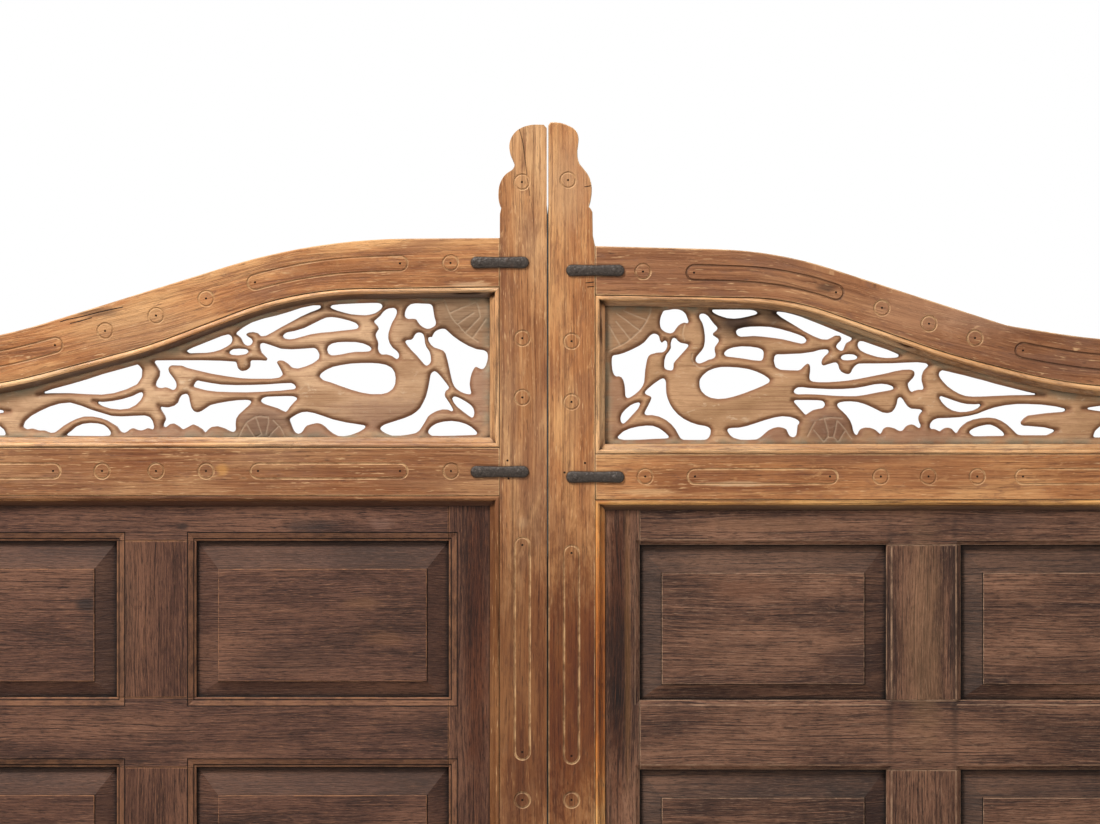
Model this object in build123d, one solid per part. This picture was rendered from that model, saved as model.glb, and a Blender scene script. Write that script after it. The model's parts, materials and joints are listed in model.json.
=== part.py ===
"""Pair of timber gate leaves with pierced carving and iron straps, hung in a post-and-threshold frame."""
import os
from dataclasses import dataclass
from math import radians, sin, cos, pi, tan

from build123d import *

# All lengths are in millimetres. X runs across the gate, the front faces -Y and Z is up.

# Leaves, as a pair
LEFT_LEAF_WIDTH = 1566.0
RIGHT_LEAF_WIDTH = 1506.0
LEAF_THICKNESS = 50.0
MEETING_GAP = 3.0
GROUND_CLEARANCE = 50.0

# Stiles and rails of the leaves. The right leaf was made a little smaller, apart from its finial.
STILE_WIDTH = 94.0
BOTTOM_RAIL_DEPTH = 112.0
LOWER_HEIGHT = 1402.0
RIGHT_LOWER_LESS = 8.0
MID_RAIL_DEPTH = 97.0
RIGHT_MID_RAIL_LESS = 5.0
CARVING_HEIGHT = 321.0
RIGHT_CARVING_LESS = 3.0
CARVING_FALL = 214.0
RIGHT_CARVING_FALL_LESS = 22.0
TOP_RAIL_DEPTH = 98.0
RAIL_FALL = 218.0
RIGHT_RAIL_FALL_LESS = 24.0
FINIAL_HEIGHT = 227.0
RIGHT_FINIAL_MORE = 21.0
HINGE_STILE_HORN = 24.0
TENON_LENGTH = 60.0
TENON_THICKNESS = 16.0
TENON_SETBACK = 18.0
JOINT_PLAY = 0.5
LIP_WIDTH = 10.0
LIP_THICKNESS = 7.0

# Carved panel and the bead mouldings
CARVING_THICKNESS = 24.0
PANEL_PLAY = 1.0
BEAD_WIDTH = 20.0
BEAD_RADIUS = 5.0
BEAD_PROUD = 2.0
BEAD_STEP_DROP = 5.0
BEAD_STEP_FALL = 3.0
BEAD_FIT = 0.3

# Older dark insert of frame and raised panels
INSERT_THICKNESS = 30.0
LEFT_INSERT_STILE = 102.0
RIGHT_INSERT_STILE = 89.0
LEFT_MUNTIN = 160.0
RIGHT_MUNTIN = 150.0
INSERT_RAIL_DEPTH = 90.0
CROSS_RAIL_DEPTH = 140.0
PANEL_ROWS = 3
LEFT_MOULDING_WIDTH = 17.0
RIGHT_MOULDING_WIDTH = 10.0
MOULDING_DEPTH = 8.0
GROOVE_DEPTH = 9.0
GROOVE_WIDTH = 8.0
GROOVE_FROM_BACK = 9.0
INSERT_TENON = 18.0
TONGUE_PLAY = 0.3
FIELD_SIDE_MARGIN = 44.0
FIELD_TOP_MARGIN = 56.0
FIELD_FOOT_MARGIN = 32.0
FIELD_SETBACK = 4.0
FIELD_STEP = 2.5

# Iron straps across the joints of the frame
STRAP_LENGTH = 116.0
STRAP_WIDTH = 23.0
STRAP_THICKNESS = 6.0
STRAP_NAIL_SPACING = 78.0
NAIL_SHANK = 5.0
NAIL_HEAD = 13.0
NAIL_HEAD_HEIGHT = 3.0
NAIL_BITE = 22.0
NAIL_PLAY = 0.2

# Hinges behind the leaves
HINGE_GAP = 6.0
HINGE_STRAP_LENGTH = 320.0
HINGE_STRAP_HEIGHT = 40.0
HINGE_TIP_HEIGHT = 24.0
HINGE_STRAP_THICKNESS = 6.0
EYE_RADIUS = 14.0
PIN_RADIUS = 8.0
PIN_PLAY = 0.05
HOOK_BOSS_RADIUS = 10.0
HOOK_ARM_HEIGHT = 16.0
HOOK_PLATE_WIDTH = 44.0
HOOK_PLATE_HEIGHT = 112.0
HOOK_PLATE_OFFSET = 26.0
HOOK_THICKNESS = 8.0
HOOK_NAIL_SPACING = 94.0
EYE_SEAT_PLAY = 0.4
PIN_STAND = 6.0
HINGE_NAIL_SHARES = (0.16, 0.55, 0.88)

# Bolts behind the leaves
BOLT_RADIUS = 8.0
BOLT_PLAY = 0.3
BOLT_STANDOFF = 10.0
GUIDE_WALL = 4.5
GUIDE_LENGTH = 24.0
GUIDE_FOOT = 34.0
GUIDE_FOOT_THICKNESS = 4.0
PEG_RADIUS = 6.0
PEG_LENGTH = 30.0
SLIDE_BOLT_LENGTH = 270.0
SLIDE_BOLT_SETBACK = 20.0
SLIDE_GUIDE_SPACING = 170.0
SLIDE_PEG_PLACE = 150.0
KEEPER_PLACE = 40.0
DROP_BOLT_LENGTH = 420.0
DROP_BOLT_LIFT = 10.0
DROP_GUIDE_HEIGHT = 80.0
DROP_GUIDE_SPACING = 290.0
DROP_PEG_PLACE = 250.0

# Posts and threshold
POST_WIDTH = 120.0
POST_DEPTH = 100.0
POST_RISE = 110.0
POST_SETBACK = 2.0
POST_CAP_CHAMFER = 12.0
ANCHOR_RADIUS = 7.0
ANCHOR_LOW = 400.0
ANCHOR_HIGH = 1500.0
THRESHOLD_DEPTH = 160.0
THRESHOLD_HEIGHT = 40.0
STOP_HEIGHT = 18.0
STOP_GAP = 2.0
THRESHOLD_TENON = 40.0
SOCKET_PLAY = 1.5
SOCKET_FLOOR = 12.0

# One overrun serves every cut that has to pass right through.
OVERRUN = 5.0

# Depths shared by the whole gate
FRONT = -LEAF_THICKNESS / 2
BACK = LEAF_THICKNESS / 2
SEAT = BACK - LIP_THICKNESS
CARVING_FRONT = SEAT - CARVING_THICKNESS
INSERT_FRONT = SEAT - INSERT_THICKNESS
GROOVE_BACK = SEAT - GROOVE_FROM_BACK
GROOVE_FRONT = GROOVE_BACK - GROOVE_WIDTH
HINGE_DEPTH = BACK + EYE_RADIUS
BOLT_DEPTH = BACK + BOLT_STANDOFF
POST_BACK = BACK - POST_SETBACK
POST_FRONT = POST_BACK - POST_DEPTH

# The meeting line is placed so that the outer faces of the posts lie evenly about X = 0.
MEETING_X = (LEFT_LEAF_WIDTH - RIGHT_LEAF_WIDTH) / 2

# Photo points of the serpentine rails, from the meeting stile to the hinge stile.
# The run past the picture's edge levels off plainly.
LEFT_RAIL_TOP_PX = [(499.8, 238), (315, 239), (-22, 344), (-189, 347)]
LEFT_RAIL_FOOT_PX = [(499.8, 287), (297, 289.5), (150, 345.5), (-15, 389), (-189, 394)]
RIGHT_RAIL_TOP_PX = [(595.5, 246), (776, 250.5), (1008, 325.5), (1100, 340), (1255, 343)]
RIGHT_RAIL_FOOT_PX = [(595.5, 295), (790, 298.5), (950, 354.5), (1075, 386), (1255, 391)]
LEFT_TOP_BEND_SHARES = (0.51, 0.42)
LEFT_FOOT_BEND_SHARES = (0.41, 0.19, 0.35)
RIGHT_TOP_BEND_SHARES = (0.33, 0.09, 0.42)
RIGHT_FOOT_BEND_SHARES = (0.24, 0.23, 0.42)

# Photo heights of the mid rails' upper edges, under the carving
LEFT_CARVING_FOOT_PX = 447.5
RIGHT_CARVING_FOOT_PX = 454.0

# Photo points of the finials, from the shoulder at the rail up to the flat of the top.
LEFT_FINIAL_EDGES_PX = (546.5, 499.6)
LEFT_SHOULDER_PX = [(499.6, 238), (499.7, 214), (501.2, 207.6)]
LEFT_LOBES_PX = [
    (501.2, 207.6), (498.9, 202), (498.2, 194), (499.3, 185), (502.5, 178), (507, 173), (512, 169.6),
    (514.3, 165.5), (513.3, 160.5), (510.8, 155), (509.2, 148.5), (509.6, 142), (512, 136), (517, 130.3),
    (525, 126.2), (535, 124.5),
]
LEFT_CROWN_PX = [(535, 124.5), (543.5, 124.7), (546.5, 128)]
RIGHT_FINIAL_EDGES_PX = (548.5, 595.5)
RIGHT_SHOULDER_PX = [(595.5, 246), (593.2, 236), (592.8, 212), (591.5, 209.3), (589.2, 206.5)]
RIGHT_LOBES_PX = [
    (589.2, 206.5), (591, 200.5), (592.1, 192), (591.6, 183.5), (589.3, 176.5), (585, 170), (580, 163.8),
    (577.9, 157), (577.8, 150), (578.8, 142.5), (578.6, 136), (576, 130.3), (569.5, 125.8), (561, 122.8),
    (553.5, 122),
]
RIGHT_CROWN_PX = [(553.5, 122), (550.5, 122.4), (548.5, 125.5)]

# Openings of the left carving, in photo points: waves and arch at the hinge side, tail, wing, body, foliage.
LEFT_WAVE_PIERCINGS_PX = [
    [(136, 364), (140.5, 369), (140, 377), (135.5, 384), (125, 389), (112, 393), (100, 394.5), (84, 394),
     (68, 393), (50, 393), (36, 393.6), (50, 388.8), (68, 384), (85, 379), (100, 374), (120, 368.5)],
    [(92, 401), (100, 402), (110, 401), (120, 399), (130, 396), (137, 392.5), (141, 392), (141.5, 395),
     (139, 400), (134, 405), (127, 408.5), (118, 409.5), (108, 408.5), (100, 406)],
    [(68, 402.5), (80, 406), (90, 410), (100, 413), (110, 416), (120, 416.5), (130, 416), (143, 415.5),
     (148, 417), (151, 421), (152.5, 427), (151.5, 430), (149, 429), (146, 428), (143, 429.5), (140, 430.5),
     (136, 430.2), (131, 428), (128, 429.5), (125, 432), (122, 433), (119, 432), (117, 429.5), (115, 426.5),
     (110, 423.5), (105, 420.5), (98, 418), (90, 416.5), (82, 416.5), (74, 419), (68, 422), (62, 425.5),
     (57, 429.5), (53, 432.5), (48, 433), (42, 430.5), (36, 430.5), (30, 428.5), (24, 429.5), (20, 427),
     (22, 421.5), (28, 416), (37, 411), (47, 406.5), (57, 403.5)],
    [(63, 435.8), (65, 433.5), (68, 431.5), (73, 427), (80, 424), (88, 423), (96, 423.5), (102, 425),
     (106, 428), (109, 432), (109, 435.5), (100, 436.2)],
]
LEFT_TAIL_PIERCINGS_PX = [
    [(151, 360.2), (170, 360), (200, 360), (220, 360.5), (235, 361.5), (236.5, 368), (240, 371), (245, 370),
     (248.5, 367), (249, 363), (248.5, 360), (258, 360), (265, 360.5), (266, 358), (260, 352), (258.5, 347),
     (258.5, 343), (262, 342.5), (270, 345), (280, 348.5), (290, 349), (300, 348.5), (313, 347.5),
     (316, 349), (318.5, 354), (318, 358.5), (312, 363), (305, 366), (297, 368.3), (291, 367.5),
     (287, 363.5), (282, 360.3), (277.5, 360), (275.5, 362), (280, 370), (282, 374.5), (278, 377.5),
     (270, 378.5), (250, 378.5), (240, 378), (225, 376), (210, 373.5), (195, 370), (185, 367.5),
     (180, 365.3), (170, 365), (167.5, 366.5), (166.5, 369), (168, 373), (172, 378), (174.5, 382),
     (175, 385.5), (174, 389), (171, 390), (168, 388.5), (164, 387), (160, 388), (156, 387.5), (153.5, 385),
     (154.5, 381), (157.5, 376), (158, 371), (156, 367)],
    [(184, 350.5), (190, 347.5), (200, 343.5), (210, 339.5), (220, 335.5), (227, 333.8), (230.5, 336),
     (231, 340), (229.5, 343.5), (225, 346.5), (219, 349.5), (212, 351.5), (205, 352.5), (195, 352.7),
     (188, 353)],
    [(226.5, 352), (231, 348.8), (238, 348.3), (245, 348.8), (248, 351), (245, 353.8), (237, 355),
     (230, 354.5)],
    [(233.5, 333.5), (236.5, 334.8), (239.5, 337.5), (241, 341), (243, 344), (246, 345.5), (249.5, 344.8),
     (251.7, 341.5), (250.5, 338.5), (247, 336.5), (244.2, 334.2), (247, 332.2), (252, 331.6),
     (256.5, 332.7), (259.5, 336), (265, 335.3), (272, 331.5), (280, 326.8), (290, 321.5), (300, 316),
     (310, 311.5), (316, 309.3), (320.5, 307), (319.5, 304.7), (312, 304.7), (300, 307.2), (288, 311.2),
     (275, 315), (262, 318), (250, 322), (242, 326.5), (236, 331)],
]
LEFT_WING_PIERCINGS_PX = [
    [(281, 335), (283, 338), (288, 339), (293, 338.5), (300, 336.5), (310, 333.8), (320, 332.3),
     (330, 331.5), (340, 330.3), (350, 329.3), (357, 328.3), (358, 325.5), (355, 322.5), (348, 320),
     (340, 318), (335, 317), (330, 316.5), (325, 317), (320, 319), (312, 323), (303, 327.5), (293, 330.5),
     (285, 332)],
    [(328, 306), (331, 304.5), (340, 303.5), (355, 302.8), (370, 302.3), (377, 302.3), (381, 303.5),
     (382, 306), (380, 309), (375, 312.5), (370, 314), (365, 314.8), (358, 314.5), (350, 313.7), (343, 312),
     (336, 310), (331, 308)],
    [(326, 349), (327, 345.5), (331, 343), (337, 341.8), (345, 341.5), (355, 341.7), (362, 343),
     (368, 345.5), (371.5, 348.5), (369, 351), (362, 351.5), (355, 351.5), (348, 352.5), (341, 354),
     (334, 355), (330, 355), (327, 353)],
    [(318, 376), (320, 373), (325, 369.5), (332, 366.5), (340, 364.8), (350, 363.3), (360, 362.8),
     (370, 362.7), (378, 363.2), (385, 364.5), (391, 367.5), (394, 372), (395, 378), (394.5, 384),
     (392, 389), (387, 392.5), (381, 394), (370, 394), (360, 392.3), (350, 389.5), (340, 386), (330, 382.3),
     (322, 380)],
    [(191, 386.5), (194, 381), (196, 380.3), (200, 381.2), (210, 383), (220, 384.5), (235, 385),
     (250, 384.8), (265, 384.3), (280, 383.2), (290, 382.8), (293.5, 384.5), (295, 387), (294, 389),
     (288, 389.5), (280, 390.5), (270, 391), (260, 391.7), (245, 392.2), (230, 392), (215, 391.5),
     (205, 390.3), (198, 388.5)],
    [(259, 400.5), (261, 398), (265, 396.7), (275, 396.3), (285, 396), (292, 396.2), (296, 397.5),
     (296.5, 399), (293, 402), (289, 406.5), (286, 411), (284.5, 412), (281, 410.5), (276, 408),
     (270, 406.2), (264, 404.3), (260.5, 402.5)],
    [(186, 393.6), (187.5, 397), (188.5, 402.5), (190, 408), (192.5, 411.3), (196, 412.5), (200, 410.8),
     (204, 408), (208.5, 405), (216, 403.2), (226, 401.4), (236, 400.2), (245, 399.8), (251, 400.8),
     (248.5, 404.5), (243, 409.5), (237.5, 414.5), (234.7, 419), (234.3, 424), (234.6, 430), (232.5, 432.2),
     (229, 431.5), (223, 428.3), (216, 426.2), (210, 427), (206.5, 429.8), (203.7, 433.3), (201, 429.5),
     (196, 426.2), (191.5, 424.3), (186, 427.3), (181, 429.8), (177.5, 426.5), (172, 423.3), (168, 424.3),
     (164.5, 427.3), (161.6, 427.2), (161.6, 424), (164, 419), (163, 415.5), (160, 411), (157.4, 405.8),
     (161, 407), (166, 407.5), (172, 405.8), (176, 402.5), (177.2, 398.5), (179.5, 395), (183, 393.8)],
    [(288, 419), (291, 417), (295, 414.5), (300, 412.3), (306, 411.8), (313, 413), (322, 416), (332, 419.5),
     (345, 422.5), (355, 424), (364, 425.5), (366, 426.3), (363, 429), (358, 432), (350, 435), (343, 436.3),
     (337, 436), (332, 433.5), (328, 430.5), (324, 426.5), (320, 423.8), (316, 423), (311, 424),
     (306, 425.5), (303.5, 428), (302, 431), (300, 433), (297, 434), (294.5, 433), (292.5, 430.5),
     (291, 427), (289.5, 423)],
]
LEFT_FOLIAGE_PIERCINGS_PX = [
    [(385, 309), (388, 307.8), (393, 307.2), (396, 309), (396.3, 312.5), (394.5, 317), (391.5, 322),
     (389.5, 327), (387.7, 333), (387.5, 338), (389, 343), (392, 347.5), (396, 350.5), (398.3, 353.5),
     (398.5, 357), (396.5, 359.5), (394.5, 358), (391, 355.5), (386, 354), (381, 354.3), (378.5, 352.5),
     (377, 348), (377.5, 343), (376.5, 339.5), (375, 336.5), (374.8, 333.5), (376.5, 330.5), (378, 328.5),
     (377, 325.5), (374, 322.5), (372.5, 320.5), (375, 319), (379.5, 315), (382, 311.5)],
    [(404, 315), (404.3, 311), (406.5, 306.5), (410, 303.5), (415, 302.7), (422, 303), (429, 303.2),
     (432, 305), (433, 311), (434, 317), (435.5, 321.5), (435.3, 324.5), (433, 326.5), (430, 328),
     (426.5, 328.5), (422, 326.5), (419, 324), (417, 321), (415.5, 318.5), (412, 318.3), (408, 318.5),
     (405, 317.5)],
    [(414.5, 333.5), (417, 332), (420.5, 332.2), (423, 334), (424, 338), (424.5, 343), (426, 347),
     (429, 351), (430.3, 356), (430.5, 361), (429, 364), (426.5, 365.5), (424.5, 365), (421.5, 361.5),
     (416, 355), (410, 349), (406, 344), (404, 341), (405, 339.8), (411, 339.3), (412.5, 337.5)],
    [(427, 336), (431.3, 337), (432.5, 334), (434, 331.5), (437, 329.5), (441, 328.2), (445, 328.5),
     (448, 331.5), (453, 336), (460, 341), (468, 345.5), (476, 348.8), (484, 350), (487, 352), (487.8, 356),
     (487, 361), (485.5, 365.5), (483.5, 368.5), (481, 369), (478, 367.5), (475.5, 366.2), (473.8, 368),
     (471.5, 372.5), (470, 378), (469.3, 384), (470, 389), (471.5, 394.5), (466, 393.8), (461, 392),
     (457, 389.5), (454, 386.5), (452, 382), (450.5, 376), (448.8, 368), (447, 360), (445, 353),
     (442.5, 350), (438, 348.5), (433.5, 347), (430, 344), (428, 340.5)],
    [(431.5, 372), (434, 370.8), (437, 372.5), (441, 377), (445, 382), (449, 387.5), (447.5, 389.5),
     (445.5, 390.5), (444.2, 393.5), (444.5, 396.5), (447, 400), (450, 404.5), (452.5, 409), (453.2, 412),
     (451.5, 411.5), (447.5, 409.5), (442, 409.3), (436, 411), (430.5, 414), (427.5, 416.5), (425, 421),
     (422, 426), (419, 430.5), (415.5, 433), (409, 434.5), (400, 435.7), (391, 435.7), (385, 433.5),
     (381, 431), (379, 428.5), (380.5, 426.5), (384, 424.5), (390, 422.5), (397, 420.3), (404, 418),
     (411, 415), (416, 411.5), (419.5, 408), (422.5, 402.5), (425.5, 396), (427.5, 388), (429, 380),
     (430, 374)],
    [(451.5, 398), (453.5, 396.3), (457, 397), (462, 399.5), (467, 402.5), (471, 405.5), (473.5, 409),
     (474, 413), (473.3, 417), (471.5, 418), (468, 415.5), (462, 411), (456.5, 406.5), (453, 402)],
    [(427.3, 433), (428, 430), (431, 426.5), (436, 423.5), (443, 421.7), (451, 421), (459, 422),
     (466, 424.2), (471, 427), (475, 430.5), (477.5, 433.5), (476, 435), (468, 435.3), (455, 435.7),
     (440, 436), (431, 435.8)],
]

# Openings of the right carving, in photo points: foliage by the stile, wing, tail, waves.
RIGHT_FOLIAGE_PIERCINGS_PX = [
    [(612.5, 357), (613.5, 355), (619, 354.3), (625, 352.5), (632, 349.5), (640, 345.5), (645, 342),
     (648, 338.5), (651, 335), (654.5, 333), (658, 333.8), (660, 335.5), (660.8, 339.5), (662.5, 342.8),
     (664.5, 341), (665.5, 339.6), (668, 340.8), (668.4, 345.5), (667, 349.5), (664, 352), (658, 352.3),
     (652, 353.8), (649.5, 355.5), (648, 359), (647, 364), (646, 370), (645.5, 377), (645, 382),
     (643.5, 386), (640.5, 390), (636, 394), (631, 397.3), (627.5, 398.3), (626, 396), (625.8, 391),
     (625.3, 385), (624, 380), (622, 377), (619.5, 376), (616.5, 376.3), (614.5, 374.5), (613, 370),
     (612.3, 363)],
    [(663.5, 312), (664.5, 310), (669, 309.5), (675, 308.5), (680, 308.8), (684, 310.5), (687, 313.5),
     (688.5, 317.5), (690, 321.5), (688.5, 323), (685.5, 322), (682, 323.2), (679, 325.5), (676.5, 329),
     (674.5, 332), (671, 333), (667, 332), (663.5, 330), (661.3, 327), (660.6, 322), (661.5, 316.5)],
    [(673, 338.3), (675, 337), (677, 338), (679, 340.5), (682, 342.5), (686, 343.2), (690, 344),
     (689.5, 346), (686, 350), (681, 355.5), (676.5, 360.5), (674.7, 363), (674.5, 368), (673.5, 370.3),
     (670, 370), (666, 369), (665, 366.5), (665.3, 360), (667, 354.5), (670, 351), (672, 347.5),
     (671.5, 343.5)],
    [(664.5, 378), (666, 379), (667, 382), (667, 388), (667.3, 393), (668.5, 398), (671, 404),
     (674.5, 409.5), (679, 414.5), (685, 419), (692, 422.5), (699, 424.8), (706, 426), (710.5, 427.5),
     (712.2, 430), (711.8, 434), (710, 438), (707, 439.8), (700, 440), (690, 440), (684, 439.8),
     (681.5, 438.5), (679.5, 435), (676.5, 429.5), (672.5, 424.5), (667, 420), (660, 416.5), (653, 415),
     (647, 415.2), (645, 413.8), (646, 411), (648.5, 406.5), (651, 401.5), (652.5, 397.5), (651, 396),
     (646, 394), (645.3, 392), (648.5, 388.8), (653.5, 384.5), (659, 380.5), (662.5, 378.5)],
    [(641.5, 402.8), (640, 402.3), (636, 403), (631, 405.3), (626, 409.5), (622.5, 413.5), (621, 418),
     (621.5, 422), (623.3, 424), (625.5, 423), (629, 419.5), (634, 414), (639, 408.5)],
    [(617.3, 438.5), (619, 436), (624, 431.5), (630, 428.8), (638, 426.8), (647, 425.7), (654, 426),
     (660, 428.3), (665, 431.8), (669, 435.5), (670.5, 437.7), (668, 438.5), (655, 439), (640, 439.8),
     (625, 440)],
]
RIGHT_WING_PIERCINGS_PX = [
    [(700, 315), (702, 313), (706, 313.2), (709.5, 315.5), (712, 319), (715, 323), (718.5, 326.5),
     (719.3, 328.3), (717, 330.5), (714, 333), (714.2, 334.8), (717, 336.5), (720, 338.5), (720.3, 341),
     (718, 344), (716, 347), (716, 350.5), (717, 354), (716.5, 357), (713.5, 358.5), (709.5, 359.5),
     (705, 361.8), (701, 363.2), (698, 362.8), (696.5, 360.5), (697, 357), (699.5, 354), (703, 350),
     (705, 346.5), (706, 341), (706, 335), (705, 328), (703.5, 322.5), (701, 318.5)],
    [(712, 309.7), (714, 309), (725, 309), (740, 309), (752, 309.2), (757, 310.2), (759.7, 312.5),
     (757, 314), (750, 315.8), (742, 317.5), (735, 318.2), (728, 317.5), (720, 315), (715, 312.5)],
    [(776, 311.3), (780, 311), (787, 311.8), (795, 313.8), (803, 316.2), (812, 319.8), (822, 323.7),
     (832, 327.8), (842, 332), (851, 336), (855, 337.8), (853, 340.2), (848.5, 342.5), (846.8, 346),
     (845.5, 350), (843, 350.6), (840, 349.3), (837.6, 346.3), (839.3, 343.3), (842.5, 340.5),
     (843.3, 337.5), (841.5, 335.3), (837, 335.1), (833, 337.5), (829, 339.2), (823, 338.8), (815, 335.7),
     (806, 331), (798, 326), (790, 321.2), (783, 317)],
    [(737, 331), (739, 328.8), (745, 327), (752, 326.2), (762, 326), (772, 326.5), (782, 328.5),
     (792, 331.3), (800, 334), (806, 336.5), (808.8, 339.8), (807, 342.5), (803, 343.3), (795, 341.5),
     (785, 339), (775, 337.5), (765, 336.3), (755, 335.5), (748, 336), (742, 336.3), (738.5, 335)],
    [(725, 354), (725.5, 352), (729, 349), (735, 347), (743, 346), (752, 346.3), (760, 347.5),
     (764.5, 349.5), (765.5, 352.5), (765, 357), (764, 360), (761, 360.5), (755, 360), (745, 358.3),
     (735, 357), (727.5, 356.2)],
    [(700.5, 382), (701, 379), (704, 375), (709, 370.8), (715, 368.3), (722, 366.8), (730, 366.7),
     (740, 367.3), (750, 368.8), (758, 371.3), (765, 374.5), (770, 377.8), (772, 380), (770.5, 382.5),
     (764, 385.8), (755, 389.5), (745, 393.3), (735, 396.5), (727, 398.3), (719, 398.8), (712, 397.7),
     (706.5, 395), (702.5, 391), (700.8, 387)],
]
RIGHT_TAIL_PIERCINGS_PX = [
    [(775.3, 361), (776, 355.5), (778.5, 354), (785, 354), (795, 353.5), (803, 353.2), (808, 352.5),
     (815, 351.5), (821, 349.7), (826, 349), (830, 349.2), (831.3, 351), (830, 353), (827, 355.5),
     (824.5, 358.5), (823.5, 362), (824, 364.8), (826, 365.3), (830, 364), (835, 362.5), (839, 362),
     (840.5, 364.5), (841.5, 368.5), (843.5, 371.5), (847.5, 373.5), (851, 374), (853, 372), (854.5, 368.5),
     (857, 365.5), (860, 363.5), (866, 363.2), (880, 363.2), (895, 363), (910, 362.3), (920, 362),
     (928, 362.8), (932, 364.5), (929, 367.5), (926, 371), (924.5, 375.5), (924.3, 380), (925.5, 384.5),
     (926.5, 388), (925.5, 389.8), (921, 389.5), (917, 390.5), (914, 392), (912, 390.5), (910.5, 387),
     (909.8, 383.5), (912, 381), (915, 378), (916.8, 375), (916.8, 372), (915, 370), (912, 369.3),
     (905, 369.5), (897, 371), (889, 373), (880, 374.8), (870, 376.8), (860, 378.8), (850, 380.3),
     (840, 381.3), (830, 382), (820, 382), (814, 381.3), (811.5, 380), (811, 377), (811.8, 371),
     (811.8, 366.5), (811, 364), (809, 363.3), (806.5, 365.3), (803, 369), (800, 370.2), (790, 370),
     (782, 369.5), (777, 367)],
    [(728, 430), (729.5, 428.5), (734, 428), (740, 427.8), (748, 426.2), (757, 423.3), (767, 420),
     (776, 417.5), (784, 416.3), (792, 417), (798, 419), (801.5, 421.5), (801.5, 423.5), (799.5, 425),
     (799, 430), (798.5, 434.5), (797, 437), (794, 437.3), (791, 436), (789.3, 432.5), (788, 429.5),
     (785, 427.8), (780, 427), (775, 428), (770, 430.5), (766, 434), (762, 437.5), (758, 439.5), (750, 440),
     (742, 439.8), (735, 438), (731, 435)],
    [(794, 400.5), (797, 400), (810, 400), (820, 400.2), (824.5, 400.7), (827, 403), (827, 405.5),
     (825, 408), (820, 408.8), (815, 410), (811, 412.5), (808.5, 414.5), (806.8, 414.8), (804, 411.5),
     (800, 407), (796, 402.5)],
    [(795, 392.5), (796, 389.5), (799, 387.3), (804, 387), (810, 387.8), (820, 388.5), (832, 389),
     (845, 388.9), (857, 388), (867, 386.3), (876, 384.3), (884, 383.6), (890, 384.3), (895, 386),
     (896.7, 387.8), (895, 389.5), (890, 390.5), (883, 391.7), (875, 393.2), (867, 394.8), (858, 396),
     (848, 396), (838, 395.7), (828, 395), (818, 394.3), (808, 394), (799, 394.2)],
    [(842, 358), (843, 356), (846, 354.3), (851, 353.8), (856, 354.2), (859.5, 356), (860, 357.8),
     (857, 359.3), (850, 360), (845, 359.8)],
    [(859.5, 345), (860, 342), (862, 340.5), (866, 341), (873, 343.5), (881, 346.3), (889, 349),
     (896, 351.8), (901, 354), (902, 355.5), (900, 357), (895, 357.5), (888, 357.7), (880, 356.7),
     (874, 355), (868, 353), (863, 350.5), (860.5, 348)],
    [(839, 405.5), (838.6, 404), (841, 402.5), (846, 401.5), (853, 401.3), (860, 402), (867, 404),
     (874, 407), (880, 410), (885, 412.5), (890, 413.2), (894, 412), (897, 408.5), (899, 403.5),
     (899.7, 398.5), (901, 397.3), (903, 397), (905.5, 399), (907.5, 402.5), (910.5, 406.5), (914, 408.7),
     (919, 409), (924, 409.5), (925.5, 411.5), (923.5, 412.5), (921.5, 415.5), (921, 419), (922, 422.5),
     (923.5, 425), (923, 428), (921.5, 428.3), (919, 427), (916.5, 425), (913.5, 424.3), (910, 425.3),
     (907.5, 427.5), (905.5, 430.5), (903, 431.2), (900, 430.5), (897, 428.5), (893, 427.3), (889, 427),
     (886, 428.5), (884.5, 431.5), (883.3, 434), (881.5, 434), (880, 432), (876.5, 429.3), (872, 427.7),
     (867, 427.5), (863, 429), (861, 431.5), (860, 434.5), (858.5, 435.5), (856.5, 434), (855, 430.5),
     (854, 425.5), (852, 420.5), (848.5, 415.5), (844, 411), (840.5, 408)],
]
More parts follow.
